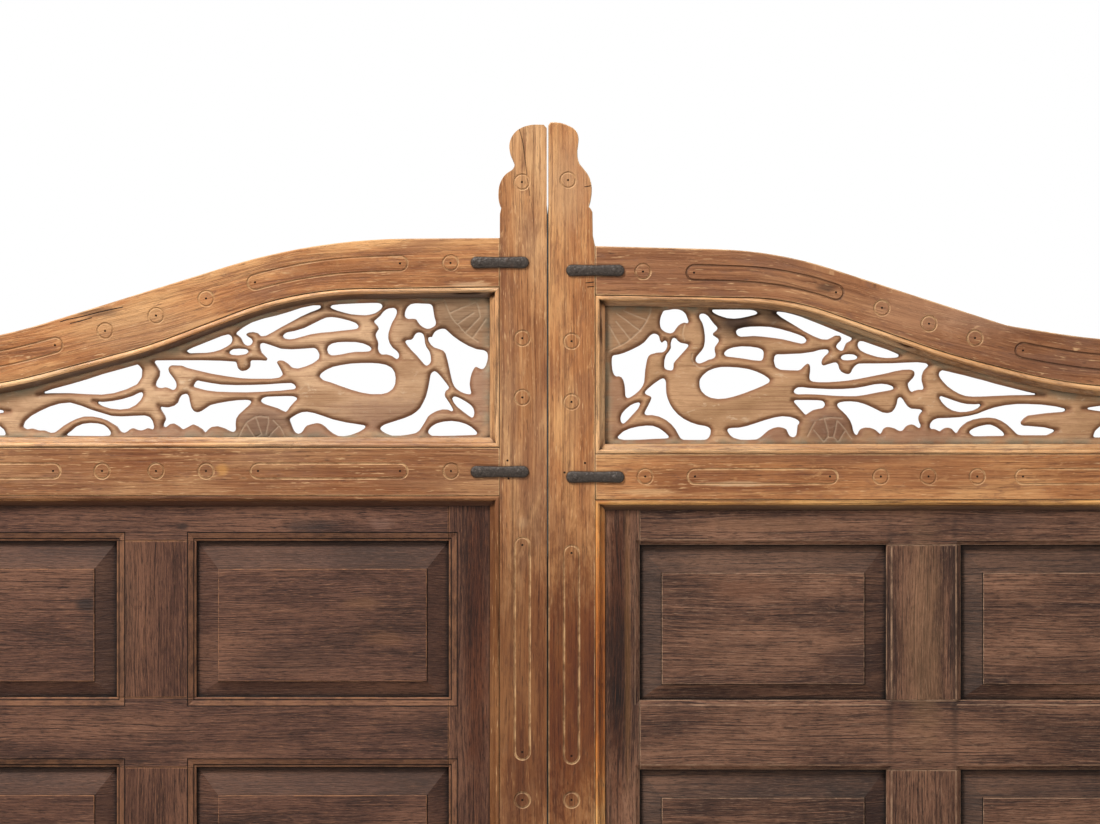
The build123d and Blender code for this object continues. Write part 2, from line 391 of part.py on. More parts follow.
RIGHT_WAVE_PIERCINGS_PX = [
    [(941, 374), (942, 371.5), (944.5, 370), (950, 371), (958, 373), (968, 375.3), (978, 378), (988, 380.5),
     (998, 383.5), (1010, 386.5), (1020, 389), (1031, 391.8), (1046, 394.6), (1031, 394.9), (1015, 395),
     (1000, 395.7), (985, 396.3), (975, 396.5), (968, 395.8), (962, 393.8), (956, 390.5), (950, 386.3),
     (945, 381), (942, 377)],
    [(941.5, 396), (944, 396), (950, 398), (957, 400.5), (964, 402.8), (970, 404), (978, 404.3),
     (983, 403.8), (984, 405), (981, 408), (976, 410.3), (969, 411.8), (962, 412), (955, 410.5), (949, 407),
     (944.5, 402.5), (942, 398.5)],
    [(1072, 409.5), (1060, 406.5), (1045, 404.6), (1031, 404), (1020, 404), (1008, 405.2), (997, 407.5),
     (988, 410.5), (980, 413.8), (972, 415.8), (962, 417.3), (950, 418), (940, 418.3), (935.5, 420),
     (932.5, 423.5), (932, 427.5), (933, 429), (937, 429), (942.5, 431.8), (945, 429.5), (947.5, 428),
     (951, 427.5), (954, 428.8), (957, 432), (958.5, 433.8), (960.5, 432), (962.5, 428.5), (966, 425),
     (970, 422), (976, 419.5), (984, 418), (991, 417.5), (998, 418.3), (1004, 420.8), (1009, 424),
     (1013.5, 428), (1017.5, 432), (1020, 434.5), (1024, 435.3), (1031, 435.3), (1050, 435.3),
     (1060, 430.5), (1048, 427.5), (1031, 426), (1027, 426), (1024.5, 424.5), (1024, 422), (1027, 418.5),
     (1031, 415.5), (1050, 413), (1066, 411.8)],
    [(971.5, 433), (972, 431), (976, 428.5), (982, 426.3), (989, 424.8), (994, 424.8), (999, 426.8),
     (1003.5, 429.8), (1006.5, 432.5), (1008, 435), (1007, 436), (995, 436), (985, 436.3), (976, 436.3)],
]

# Plain run of the carving past the picture's edge: lens slots over round arches, as photo points.
LEFT_LENSES_PX = [(-62, 8, 411.5), (-142, -76, 413)]
LEFT_ARCHES_PX = [(-52, 4, 435.5, 420.5), (-128, -72, 435.5, 421.5)]
RIGHT_LENSES_PX = [(1086, 1152, 408.5), (1166, 1230, 410)]
RIGHT_ARCHES_PX = [(1096, 1150, 437.5, 421), (1172, 1226, 437.5, 421)]
LENS_RISE_PX = 3.6
CURVE_STEPS = 9


@dataclass(frozen=True)
class Leaf:
    """Sizes and photo outlines of one leaf; side is -1 for the left leaf and 1 for the right."""

    name: str
    side: int
    width: float
    lower_height: float
    mid_rail: float
    carving_height: float
    carving_fall: float
    rail_fall: float
    finial_height: float
    insert_stile: float
    muntin: float
    moulding: float
    rail_top_px: list
    rail_foot_px: list
    top_bend_shares: tuple
    foot_bend_shares: tuple
    carving_foot_px: float
    finial_edges_px: tuple
    shoulder_px: list
    lobes_px: list
    crown_px: list
    piercings_px: list

    def x(self, distance):
        """Place across the gate of a distance from the leaf's meeting edge."""
        return MEETING_X + self.side * (MEETING_GAP / 2 + distance)

    def span(self, near, far):
        """Low and high X of a stretch between two distances from the meeting edge."""
        return tuple(sorted((self.x(near), self.x(far))))

    @property
    def opening(self):
        """Distances of the two stiles' inner edges from the meeting edge."""
        return STILE_WIDTH, self.width - STILE_WIDTH

    @property
    def lower_foot(self):
        """Height of the bottom rail's upper edge."""
        return GROUND_CLEARANCE + BOTTOM_RAIL_DEPTH

    @property
    def mid_foot(self):
        """Height of the mid rail's lower edge."""
        return self.lower_foot + self.lower_height

    @property
    def carving_foot(self):
        """Height of the mid rail's upper edge."""
        return self.mid_foot + self.mid_rail

    @property
    def carving_top(self):
        """Height of the top rail's lower edge at the meeting stile."""
        return self.carving_foot + self.carving_height

    @property
    def rail_top(self):
        """Height of the top rail's upper edge at the meeting stile."""
        return self.carving_top + TOP_RAIL_DEPTH

    @property
    def hinge_rail_top(self):
        """Height of the top rail's upper edge at the hinge stile."""
        return self.rail_top - self.rail_fall

    @property
    def hinge_carving_top(self):
        """Height of the top rail's lower edge at the hinge stile."""
        return self.carving_top - self.carving_fall

    @property
    def hinge_line(self):
        """Distance of the hinge axis from the meeting edge."""
        return self.width + HINGE_GAP / 2

    def rail_heights(self):
        """Middle heights of the top, mid and bottom rails at the meeting stile."""
        return [(self.carving_top + self.rail_top) / 2, (self.mid_foot + self.carving_foot) / 2,
                (GROUND_CLEARANCE + self.lower_foot) / 2]

    def hinge_heights(self):
        """Middle heights of the three rails at the hinge stile."""
        return [(self.hinge_carving_top + self.hinge_rail_top) / 2] + self.rail_heights()[1:]

    def edge_points(self, points_px, top, fall):
        """Corners of a serpentine edge, from photo points to places on the leaf."""
        (first_x, first_y), (last_x, last_y) = points_px[0], points_px[-1]
        near, far = self.opening
        places = []
        for px, py in points_px:
            along_share = (px - first_x) / (last_x - first_x)
            fall_share = (py - first_y) / (last_y - first_y)
            places.append((self.x(near + along_share * (far - near)), top - fall_share * fall))
        return places

    def foot_points(self, drop=0.0):
        """Corners of the top rail's lower edge, lowered by a clearance."""
        places = self.edge_points(self.rail_foot_px, self.carving_top, self.carving_fall)
        return [(x, z - drop) for x, z in places]

    def carving_place(self, px, py):
        """Place on the carved panel of a photo point, as shares of the opening's width and local height."""
        foot = self.rail_foot_px
        along_share = (px - foot[0][0]) / (foot[-1][0] - foot[0][0])
        top_px = height_on_line(foot, px)
        up_share = (self.carving_foot_px - py) / (self.carving_foot_px - top_px)
        near, far = self.opening
        x = self.x(near + along_share * (far - near))
        top = height_on_line(self.foot_points(), x)
        return x, self.carving_foot + up_share * (top - self.carving_foot)

    def finial_place(self, px, py):
        """Place on the meeting stile of a photo point of the finial."""
        meeting_px, outer_px = self.finial_edges_px
        across_share = (px - meeting_px) / (outer_px - meeting_px)
        foot_px = self.shoulder_px[0][1]
        top_px = min(y for _, y in self.lobes_px)
        up_share = (foot_px - py) / (foot_px - top_px)
        return self.x(across_share * STILE_WIDTH), self.rail_top + up_share * self.finial_height


def height_on_line(points, x):
    """Height at x on straight runs between points."""
    for (x0, y0), (x1, y1) in zip(points, points[1:]):
        if min(x0, x1) <= x <= max(x0, x1):
            return y0 + (y1 - y0) * (x - x0) / (x1 - x0)
    return points[-1][1]


def lens_px(x0, x1, y):
    """Photo points of a slot with two bowed sides."""
    upper = []
    lower = []
    for step in range(CURVE_STEPS):
        share = step / (CURVE_STEPS - 1)
        bow = LENS_RISE_PX * sin(pi * share)
        upper.append((x0 + share * (x1 - x0), y - bow))
        lower.append((x0 + share * (x1 - x0), y + bow))
    return upper + lower[-2:0:-1]


def arch_px(x0, x1, base, crown):
    """Photo points of a round-headed opening."""
    points = []
    for step in range(CURVE_STEPS):
        turn = pi * step / (CURVE_STEPS - 1)
        points.append(((x0 + x1) / 2 - cos(turn) * (x1 - x0) / 2, base - sin(turn) * (base - crown)))
    return points


def block(x, y, z):
    """Box between low and high values on the three axes."""
    size = Box(x[1] - x[0], y[1] - y[0], z[1] - z[0])
    return Pos((x[0] + x[1]) / 2, (y[0] + y[1]) / 2, (z[0] + z[1]) / 2) * size


def grown(limits, play):
    """Low and high values moved apart by a clearance."""
    return limits[0] - play, limits[1] + play


def plate(outline, front, back):
    """Solid between two depths, from an outline drawn on the front view."""
    return extrude(Plane.XZ.offset(-back) * outline, amount=back - front)


def polygon(points):
    """Flat face inside a closed run of points."""
    return make_face(Polyline(*points, close=True))


def serpentine(corners, bend_shares):
    """Line through corners, each rounded by an arc over a share of its shorter run."""
    radii = []
    for before, corner, after, share in zip(corners, corners[1:], corners[2:], bend_shares):
        first = Vector(*corner) - Vector(*before)
        second = Vector(*after) - Vector(*corner)
        turn = radians(first.get_angle(second))
        radii.append(share * min(first.length, second.length) / tan(turn / 2))
    return FilletPolyline(*corners, radius=radii)


def band(upper_corners, upper_shares, lower_corners, lower_shares):
    """Face between two serpentine edges that run the same way."""
    upper = serpentine(upper_corners, upper_shares)
    lower = serpentine(lower_corners, lower_shares)
    near = Line(upper_corners[0], lower_corners[0])
    far = Line(upper_corners[-1], lower_corners[-1])
    return make_face(upper.edges() + lower.edges() + [near.edge(), far.edge()])


def tenon_depth(play=0.0):
    """Low and high Y of the leaf frame's tenons or mortises."""
    return grown((-TENON_THICKNESS / 2, TENON_THICKNESS / 2), play)


def square_nail(x, z, face, outward, cover):
    """Square nail with a low faceted head, standing on a cover plate of the leaf."""
    seat = face + outward * cover
    tip = face - outward * NAIL_BITE
    half = NAIL_SHANK / 2
    shank = block((x - half, x + half), tuple(sorted((seat, tip))), (z - half, z + half))
    crown = seat + outward * NAIL_HEAD_HEIGHT
    head = loft([square_at(x, seat, z, NAIL_HEAD), square_at(x, crown, z, NAIL_SHANK)], ruled=True)
    return shank + head


def square_at(x, y, z, side):
    """Upright square face on a plane of constant depth."""
    return Plane((x, y, z), x_dir=(1, 0, 0), z_dir=(0, -1, 0)) * Rectangle(side, side)


def nail_hole(x, z, face, outward, cover):
    """Cut for a square nail through its cover plate and into the wood."""
    half = NAIL_SHANK / 2 + NAIL_PLAY
    ends = (face + outward * (cover + OVERRUN), face - outward * (NAIL_BITE + NAIL_PLAY))
    return block((x - half, x + half), tuple(sorted(ends)), (z - half, z + half))


def meeting_stile(leaf):
    """Stile at the meeting line, with its lobed finial and mortises."""
    foot = [leaf.finial_place(leaf.finial_edges_px[0], leaf.crown_px[-1][1]),
            (leaf.x(0.0), GROUND_CLEARANCE), (leaf.x(STILE_WIDTH), GROUND_CLEARANCE)]
    shoulder = [leaf.finial_place(*point) for point in leaf.shoulder_px]
    crown = [leaf.finial_place(*point) for point in leaf.crown_px]
    body = Polyline(*foot, *shoulder)
    lobes = Spline(*[leaf.finial_place(*point) for point in leaf.lobes_px])
    top = Polyline(*crown)
    outline = make_face(body.edges() + lobes.edges() + top.edges())
    stile = plate(outline, FRONT, BACK)
    lip = leaf.span(STILE_WIDTH, STILE_WIDTH + LIP_WIDTH)
    heads = ((leaf.lower_foot, leaf.mid_foot), (leaf.carving_foot, leaf.carving_top))
    for foot_height, head_height in heads:
        stile += block(lip, (SEAT, BACK), (foot_height, head_height - PANEL_PLAY))
    return stile - mortises(leaf, STILE_WIDTH - TENON_LENGTH, STILE_WIDTH, leaf.carving_top, leaf.rail_top)


def hinge_stile(leaf):
    """Plain stile at the hinge side, with a short horn over the top rail."""
    near, far = leaf.opening[1], leaf.width
    head = leaf.hinge_rail_top + HINGE_STILE_HORN
    stile = block(leaf.span(near, far), (FRONT, BACK), (GROUND_CLEARANCE, head))
    lip = leaf.span(near - LIP_WIDTH, near)
    heads = ((leaf.lower_foot, leaf.mid_foot), (leaf.carving_foot, leaf.hinge_carving_top))
    for foot_height, head_height in heads:
        stile += block(lip, (SEAT, BACK), (foot_height, head_height - PANEL_PLAY))
    return stile - mortises(leaf, near, near + TENON_LENGTH, leaf.hinge_carving_top, leaf.hinge_rail_top)


def mortises(leaf, near, far, top_foot, top_head):
    """Three cuts for the rails' tenons, between two distances from the meeting edge."""
    rails = ((GROUND_CLEARANCE, leaf.lower_foot), (leaf.mid_foot, leaf.carving_foot), (top_foot, top_head))
    cuts = []
    for foot_height, head_height in rails:
        height = (foot_height + TENON_SETBACK - JOINT_PLAY, head_height - TENON_SETBACK + JOINT_PLAY)
        cuts.append(block(grown(leaf.span(near, far), JOINT_PLAY), tenon_depth(JOINT_PLAY), height))
    return cuts


def straight_rail(leaf, foot_height, head_height, lip_below):
    """Level rail with a tenon at each end and a rear lip above it, and another below if asked."""
    near, far = leaf.opening
    rail = block(leaf.span(near, far), (FRONT, BACK), (foot_height, head_height))
    rail += block(leaf.span(near - TENON_LENGTH, far + TENON_LENGTH), tenon_depth(),
                  (foot_height + TENON_SETBACK, head_height - TENON_SETBACK))
    lip_span = leaf.span(near + LIP_WIDTH, far - LIP_WIDTH)
    rail += block(lip_span, (SEAT, BACK), (head_height, head_height + LIP_WIDTH))
    if lip_below:
        rail += block(lip_span, (SEAT, BACK), (foot_height - LIP_WIDTH, foot_height))
    return rail


def top_rail(leaf):
    """Serpentine rail with tenons, and a rear lip that follows its lower edge."""
    near, far = leaf.opening
    upper = leaf.edge_points(leaf.rail_top_px, leaf.rail_top, leaf.rail_fall)
    lower = leaf.foot_points()
    shares = leaf.foot_bend_shares
    rail = plate(band(upper, leaf.top_bend_shares, lower, shares), FRONT, BACK)
    lip = plate(band(lower, shares, leaf.foot_points(LIP_WIDTH), shares), SEAT, BACK)
    lip_span = leaf.span(near + LIP_WIDTH, far - LIP_WIDTH)
    rail += lip & block(lip_span, (SEAT, BACK), (leaf.carving_foot, leaf.rail_top))
    tenons = (
        (leaf.span(near - TENON_LENGTH, near), leaf.carving_top, leaf.rail_top),
        (leaf.span(far, far + TENON_LENGTH), leaf.hinge_carving_top, leaf.hinge_rail_top),
    )
    for ends, foot, head in tenons:
        rail += block(ends, tenon_depth(), (foot + TENON_SETBACK, head - TENON_SETBACK))
    return rail


def carved_panel(leaf):
    """Pierced board under the top rail, seated on the lips."""
    near, far = leaf.opening
    top = leaf.foot_points(PANEL_PLAY)
    head = serpentine(top, leaf.foot_bend_shares)
    foot = Polyline(top[0], (top[0][0], leaf.carving_foot), (top[-1][0], leaf.carving_foot), top[-1])
    outline = make_face(head.edges() + foot.edges())
    holes = []
    for points_px in leaf.piercings_px:
        holes.append(polygon([leaf.carving_place(px, py) for px, py in points_px]))
    board = plate(outline - holes, CARVING_FRONT, SEAT)
    room = block(leaf.span(near + PANEL_PLAY, far - PANEL_PLAY), (CARVING_FRONT, SEAT),
                 (leaf.carving_foot, leaf.rail_top))
    return board & room


def bead_section(base):
    """Cross-section of a bead moulding: inward from the frame's edge, and forward from the middle plane."""
    crest = -FRONT + BEAD_PROUD
    spring = crest - BEAD_RADIUS
    step = spring - BEAD_STEP_DROP
    bead = 2 * BEAD_RADIUS
    run = Polyline((bead, spring), (bead, step), (BEAD_WIDTH, step - BEAD_STEP_FALL), (BEAD_WIDTH, -base),
                   (0.0, -base), (0.0, spring))
    round_top = ThreePointArc((0.0, spring), (BEAD_RADIUS, crest), (bead, spring))
    return make_face(run.edges() + round_top.edges())


def mitred_bead(path, base, start_in, end_in):
    """Bead along a path that runs anticlockwise on the front view, cut at 45 degrees at both ends."""
    start = path @ 0
    end = path @ 1
    along = path % 0
    inward = Vector(0, -1, 0).cross(along)
    section = Plane(start, x_dir=inward, z_dir=along) * bead_section(base)
    bead = sweep(section, path=path)
    for corner, mitre, ahead in ((start, start_in, along), (end, end_in, -(path % 1))):
        across = Vector(mitre[1], 0, -mitre[0])
        if across.dot(ahead) < 0:
            across = -across
        bead = split(bead, bisect_by=Plane(corner, z_dir=across), keep=Keep.TOP)
    return bead


def bead_frame(left, right, foot, left_head, right_head, base, top_path):
    """Four mitred beads round an opening; the top one follows its own path from right to left."""
    corners = {
        "foot_left": ((left, foot), (1, 1)),
        "foot_right": ((right, foot), (-1, 1)),
        "head_right": ((right, right_head), (-1, -1)),
        "head_left": ((left, left_head), (1, -1)),
    }
    sides = (("foot_left", "foot_right"), ("foot_right", "head_right"), ("head_left", "foot_left"))
    beads = []
    for first, last in sides:
        (x0, z0), start_in = corners[first]
        (x1, z1), end_in = corners[last]
        beads.append(mitred_bead(Line((x0, 0, z0), (x1, 0, z1)), base, start_in, end_in))
    beads.append(mitred_bead(top_path, base, corners["head_right"][1], corners["head_left"][1]))
    return beads


def upper_beads(leaf):
    """Beads round the carving."""
    points = sorted(leaf.foot_points(BEAD_FIT), reverse=True)
    shares = leaf.foot_bend_shares if leaf.side < 0 else leaf.foot_bend_shares[::-1]
    path = Plane.XZ * serpentine(points, shares)
    heads = sorted(leaf.foot_points())
    left, right = leaf.span(*leaf.opening)
    return bead_frame(left, right, leaf.carving_foot, heads[0][1], heads[-1][1], CARVING_FRONT, path)


def lower_beads(leaf):
    """Beads round the dark insert."""
    left, right = leaf.span(*leaf.opening)
    head = leaf.mid_foot
    path = Line((right, 0, head), (left, 0, head))
    return bead_frame(left, right, leaf.lower_foot, head, head, INSERT_FRONT, path)


def panel_openings(leaf):
    """Openings of the insert as X and Z limits, by row from the top and by column from the meeting stile."""
    near, far = leaf.opening
    inner = near + JOINT_PLAY + leaf.insert_stile
    outer = far - JOINT_PLAY - leaf.insert_stile
    middle = (near + far) / 2
    columns = (leaf.span(inner, middle - leaf.muntin / 2), leaf.span(middle + leaf.muntin / 2, outer))
    foot = leaf.lower_foot + INSERT_RAIL_DEPTH
    head = leaf.mid_foot - JOINT_PLAY - INSERT_RAIL_DEPTH
    height = (head - foot - (PANEL_ROWS - 1) * CROSS_RAIL_DEPTH) / PANEL_ROWS
    rows = []
    for row in range(PANEL_ROWS):
        top = head - row * (height + CROSS_RAIL_DEPTH)
        rows.append([(column, (top - height, top)) for column in columns])
    return rows


def rectangle_at(x, y, z):
    """Upright rectangle face at a depth."""
    centre = ((x[0] + x[1]) / 2, y, (z[0] + z[1]) / 2)
    return Plane(centre, x_dir=(1, 0, 0), z_dir=(0, -1, 0)) * Rectangle(x[1] - x[0], z[1] - z[0])


def insert_cuts(leaf):
    """Grooves and mitred edge mouldings of every panel opening."""
    cuts = []
    for row in panel_openings(leaf):
        for x, z in row:
            cuts.append(block(grown(x, GROOVE_DEPTH), (GROOVE_FRONT, GROOVE_BACK), grown(z, GROOVE_DEPTH)))
            flare = leaf.moulding * (MOULDING_DEPTH + OVERRUN) / MOULDING_DEPTH
            inner = rectangle_at(x, INSERT_FRONT + MOULDING_DEPTH, z)
            outer = rectangle_at(grown(x, flare), INSERT_FRONT - OVERRUN, grown(z, flare))
            cuts.append(loft([inner, outer], ruled=True))
    return cuts


def insert_frame(leaf):
    """Stiles, rails and muntins of the dark insert, by node name."""
    near, far = leaf.opening
    near += JOINT_PLAY
    far -= JOINT_PLAY
    depth = (INSERT_FRONT, SEAT)
    groove = (GROOVE_FRONT, GROOVE_BACK)
    tongue = grown(groove, -TONGUE_PLAY)
    rows = panel_openings(leaf)
    foot, head = leaf.lower_foot, leaf.mid_foot - JOINT_PLAY
    inner, outer = near + leaf.insert_stile, far - leaf.insert_stile
    rail_limits = [(rows[0][0][1][1], head)]
    for upper, lower in zip(rows, rows[1:]):
        rail_limits.append((lower[0][1][1], upper[0][1][0]))
    rail_limits.append((foot, rows[-1][0][1][0]))
    middle = (near + far) / 2
    muntin_span = leaf.span(middle - leaf.muntin / 2, middle + leaf.muntin / 2)
    rails = []
    sockets = []
    for z in rail_limits:
        tenon_z = grown(z, -TENON_SETBACK)
        rail_span = leaf.span(inner, outer)
        tenon_span = grown(rail_span, INSERT_TENON)
        rails.append(block(rail_span, depth, z) + block(tenon_span, tongue, tenon_z))
        sockets.append(block(grown(tenon_span, JOINT_PLAY), groove, grown(tenon_z, JOINT_PLAY)))
    muntins = []
    muntin_sockets = []
    for row in rows:
        z = row[0][1]
        tongue_x = grown(muntin_span, -TENON_SETBACK)
        muntin = block(muntin_span, depth, z)
        muntins.append(muntin + block(tongue_x, tongue, grown(z, INSERT_TENON)))
        socket_z = grown(z, INSERT_TENON + JOINT_PLAY)
        muntin_sockets.append(block(grown(tongue_x, JOINT_PLAY), groove, socket_z))
    cuts = insert_cuts(leaf)
    stiles = {
        "insert_meeting_stile": block(leaf.span(near, inner), depth, (foot, head)) - (sockets + cuts),
        "insert_hinge_stile": block(leaf.span(outer, far), depth, (foot, head)) - (sockets + cuts),
    }
    rails = [rail - (muntin_sockets + cuts) for rail in rails]
    muntins = [muntin - cuts for muntin in muntins]
    return stiles | {
        "insert_top_rail": rails[0],
        "insert_bottom_rail": rails[-1],
        "insert_cross_rails": rails[1:-1],
        "insert_muntins": muntins,
    }


def raised_panel(x, z):
    """Raised and fielded panel with a tongue all round."""
    tongue_front = GROOVE_FRONT + TONGUE_PLAY
    reach = GROOVE_DEPTH - PANEL_PLAY
    board = block(grown(x, reach), (tongue_front, GROOVE_BACK - TONGUE_PLAY), grown(z, reach))
    field_x = grown(x, -FIELD_SIDE_MARGIN)
    field_z = (z[0] + FIELD_FOOT_MARGIN, z[1] - FIELD_TOP_MARGIN)
    field_front = INSERT_FRONT + FIELD_SETBACK
    bevel_head = field_front + FIELD_STEP
    bevel = loft([rectangle_at(x, tongue_front, z), rectangle_at(field_x, bevel_head, field_z)], ruled=True)
    field = block(field_x, (field_front, bevel_head), field_z)
    return board + bevel + field


def strap_places(leaf):
    """Middles of the six joint straps: on both stiles, at each rail."""
    places = [(leaf.x(STILE_WIDTH), height) for height in leaf.rail_heights()]
    return places + [(leaf.x(leaf.opening[1]), height) for height in leaf.hinge_heights()]


def strap_nail_places(leaf):
    """Places of the joint straps' nails."""
    half = STRAP_NAIL_SPACING / 2
    return [(x + offset, z) for x, z in strap_places(leaf) for offset in (-half, half)]


def joint_strap(x, z):
    """Short round-ended iron strap across a joint."""
    outline = Pos(x, z) * SlotOverall(STRAP_LENGTH, STRAP_WIDTH)
    return plate(outline, FRONT - STRAP_THICKNESS, FRONT)


def hinge_nail_places(leaf):
    """Places of the hinge straps' nails on the back of the leaf."""
    distances = [leaf.width - share * HINGE_STRAP_LENGTH for share in HINGE_NAIL_SHARES]
    return [(leaf.x(distance), height) for height in leaf.hinge_heights() for distance in distances]


def hinge_strap(leaf, height):
    """Tapered strap on the back of the leaf, with a rolled eye round the hook's pin."""
    x = leaf.x(leaf.hinge_line)
    tip = leaf.x(leaf.width - HINGE_STRAP_LENGTH + HINGE_TIP_HEIGHT / 2)
    root, end = HINGE_STRAP_HEIGHT / 2, HINGE_TIP_HEIGHT / 2
    outline = polygon([(x, height - root), (tip, height - end), (tip, height + end), (x, height + root)])
    outline += Pos(tip, height) * Circle(end)
    strap = plate(outline, BACK, BACK + HINGE_STRAP_THICKNESS)
    strap += Pos(x, HINGE_DEPTH, height) * Cylinder(EYE_RADIUS, HINGE_STRAP_HEIGHT)
    bore = Cylinder(PIN_RADIUS + PIN_PLAY, HINGE_STRAP_HEIGHT + OVERRUN)
    return strap - Pos(x, HINGE_DEPTH, height) * bore


def post_inner(leaf):
    """X of the post face beside a leaf."""
    return leaf.x(leaf.width + HINGE_GAP)


def hook_nail_places(leaf):
    """Places of the nails that hold one leaf's hooks on its post."""
    x = post_inner(leaf) + leaf.side * (HOOK_PLATE_OFFSET + HOOK_PLATE_WIDTH / 2)
    half = HOOK_NAIL_SPACING / 2
    return [(x, height + offset) for height in leaf.hinge_heights() for offset in (-half, half)]


def hinge_hook(leaf, height):
    """Plate on the back of the post, with an arm and an upright pin under the strap's eye."""
    pin_x = leaf.x(leaf.hinge_line)
    near = post_inner(leaf) + leaf.side * HOOK_PLATE_OFFSET
    far = near + leaf.side * HOOK_PLATE_WIDTH
    plate_height = grown((height, height), HOOK_PLATE_HEIGHT / 2)
    plate_back = POST_BACK + HOOK_THICKNESS
    hook = block(tuple(sorted((near, far))), (POST_BACK, plate_back), plate_height)
    arm_top = height - HINGE_STRAP_HEIGHT / 2 - EYE_SEAT_PLAY
    arm_foot = arm_top - HOOK_ARM_HEIGHT
    low, high = HINGE_DEPTH - HOOK_BOSS_RADIUS, HINGE_DEPTH + HOOK_BOSS_RADIUS
    arm = polygon([(far, POST_BACK), (near, POST_BACK), (pin_x, low), (pin_x, high), (far, plate_back)])
    arm += Pos(pin_x, HINGE_DEPTH) * Circle(HOOK_BOSS_RADIUS)
    hook += extrude(Plane.XY.offset(arm_foot) * arm, amount=HOOK_ARM_HEIGHT)
    pin_top = height + HINGE_STRAP_HEIGHT / 2 + PIN_STAND
    pin = Cylinder(PIN_RADIUS, pin_top - arm_foot, align=(Align.CENTER, Align.CENTER, Align.MIN))
    return hook + Pos(pin_x, HINGE_DEPTH, arm_foot) * pin


def bolt_guide():
    """Iron staple round a bolt that runs along X, with its foot on the plane Y = 0."""
    wall = BOLT_RADIUS + BOLT_PLAY + GUIDE_WALL
    across = (-GUIDE_LENGTH / 2, GUIDE_LENGTH / 2)
    along_x = Rot(0, 90, 0)
    guide = block(across, (0.0, GUIDE_FOOT_THICKNESS), (-GUIDE_FOOT, GUIDE_FOOT))
    guide += block(across, (0.0, BOLT_STANDOFF), (-wall, wall))
    guide += Pos(0, BOLT_STANDOFF, 0) * along_x * Cylinder(wall, GUIDE_LENGTH)
    guide &= block(across, (0.0, BOLT_STANDOFF + wall), (-GUIDE_FOOT, GUIDE_FOOT))
    bore = Cylinder(BOLT_RADIUS + BOLT_PLAY, GUIDE_LENGTH + OVERRUN)
    return guide - Pos(0, BOLT_STANDOFF, 0) * along_x * bore


def guide_nail_offset():
    """Distance of a guide's nails from the bolt's line."""
    return (BOLT_RADIUS + GUIDE_WALL + GUIDE_FOOT) / 2 + BOLT_PLAY


def slide_bolt_height(leaf):
    """Height of the slide bolt on the left leaf's mid rail."""
    return leaf.rail_heights()[1]


def slide_bolt(leaf):
    """Round bolt with a peg, drawn back on the left leaf."""
    tip = leaf.x(SLIDE_BOLT_SETBACK)
    middle = tip + leaf.side * SLIDE_BOLT_LENGTH / 2
    height = slide_bolt_height(leaf)
    bolt = Pos(middle, BOLT_DEPTH, height) * Rot(0, 90, 0) * Cylinder(BOLT_RADIUS, SLIDE_BOLT_LENGTH)
    peg_x = tip + leaf.side * SLIDE_PEG_PLACE
    return bolt + peg(peg_x, height)


def peg(x, z):
    """Round peg that stands out from a bolt."""
    base = (Align.CENTER, Align.CENTER, Align.MIN)
    return Pos(x, BOLT_DEPTH, z) * Rot(-90, 0, 0) * Cylinder(PEG_RADIUS, PEG_LENGTH, align=base)


def slide_guide_places():
    """Distances of the slide bolt's two guides from the meeting edge."""
    return STILE_WIDTH / 2, STILE_WIDTH / 2 + SLIDE_GUIDE_SPACING


def drop_bolt_x(leaf):
    """X of the drop bolt on the right leaf's meeting stile."""
    return leaf.x(STILE_WIDTH / 2)


def drop_bolt(leaf):
    """Upright bolt with a peg, raised on the right leaf."""
    x = drop_bolt_x(leaf)
    foot = GROUND_CLEARANCE + DROP_BOLT_LIFT
    base = (Align.CENTER, Align.CENTER, Align.MIN)
    bolt = Pos(x, BOLT_DEPTH, foot) * Cylinder(BOLT_RADIUS, DROP_BOLT_LENGTH, align=base)
    return bolt + peg(x, foot + DROP_PEG_PLACE)


def drop_guide_heights():
    """Heights of the drop bolt's two guides."""
    low = GROUND_CLEARANCE + DROP_GUIDE_HEIGHT
    return low, low + DROP_GUIDE_SPACING


def back_nail_places(leaf):
    """Places and cover thicknesses of the nails on the back of a leaf."""
    places = [(x, z, HINGE_STRAP_THICKNESS) for x, z in hinge_nail_places(leaf)]
    offset = guide_nail_offset()
    height = slide_bolt_height(LEFT)
    if leaf.side < 0:
        guides = [leaf.x(distance) for distance in slide_guide_places()]
    else:
        guides = [leaf.x(KEEPER_PLACE)]
        for guide_height in drop_guide_heights():
            x = drop_bolt_x(leaf)
            places += [(x - offset, guide_height, GUIDE_FOOT_THICKNESS)]
            places += [(x + offset, guide_height, GUIDE_FOOT_THICKNESS)]
    for x in guides:
        places += [(x, height - offset, GUIDE_FOOT_THICKNESS), (x, height + offset, GUIDE_FOOT_THICKNESS)]
    return places


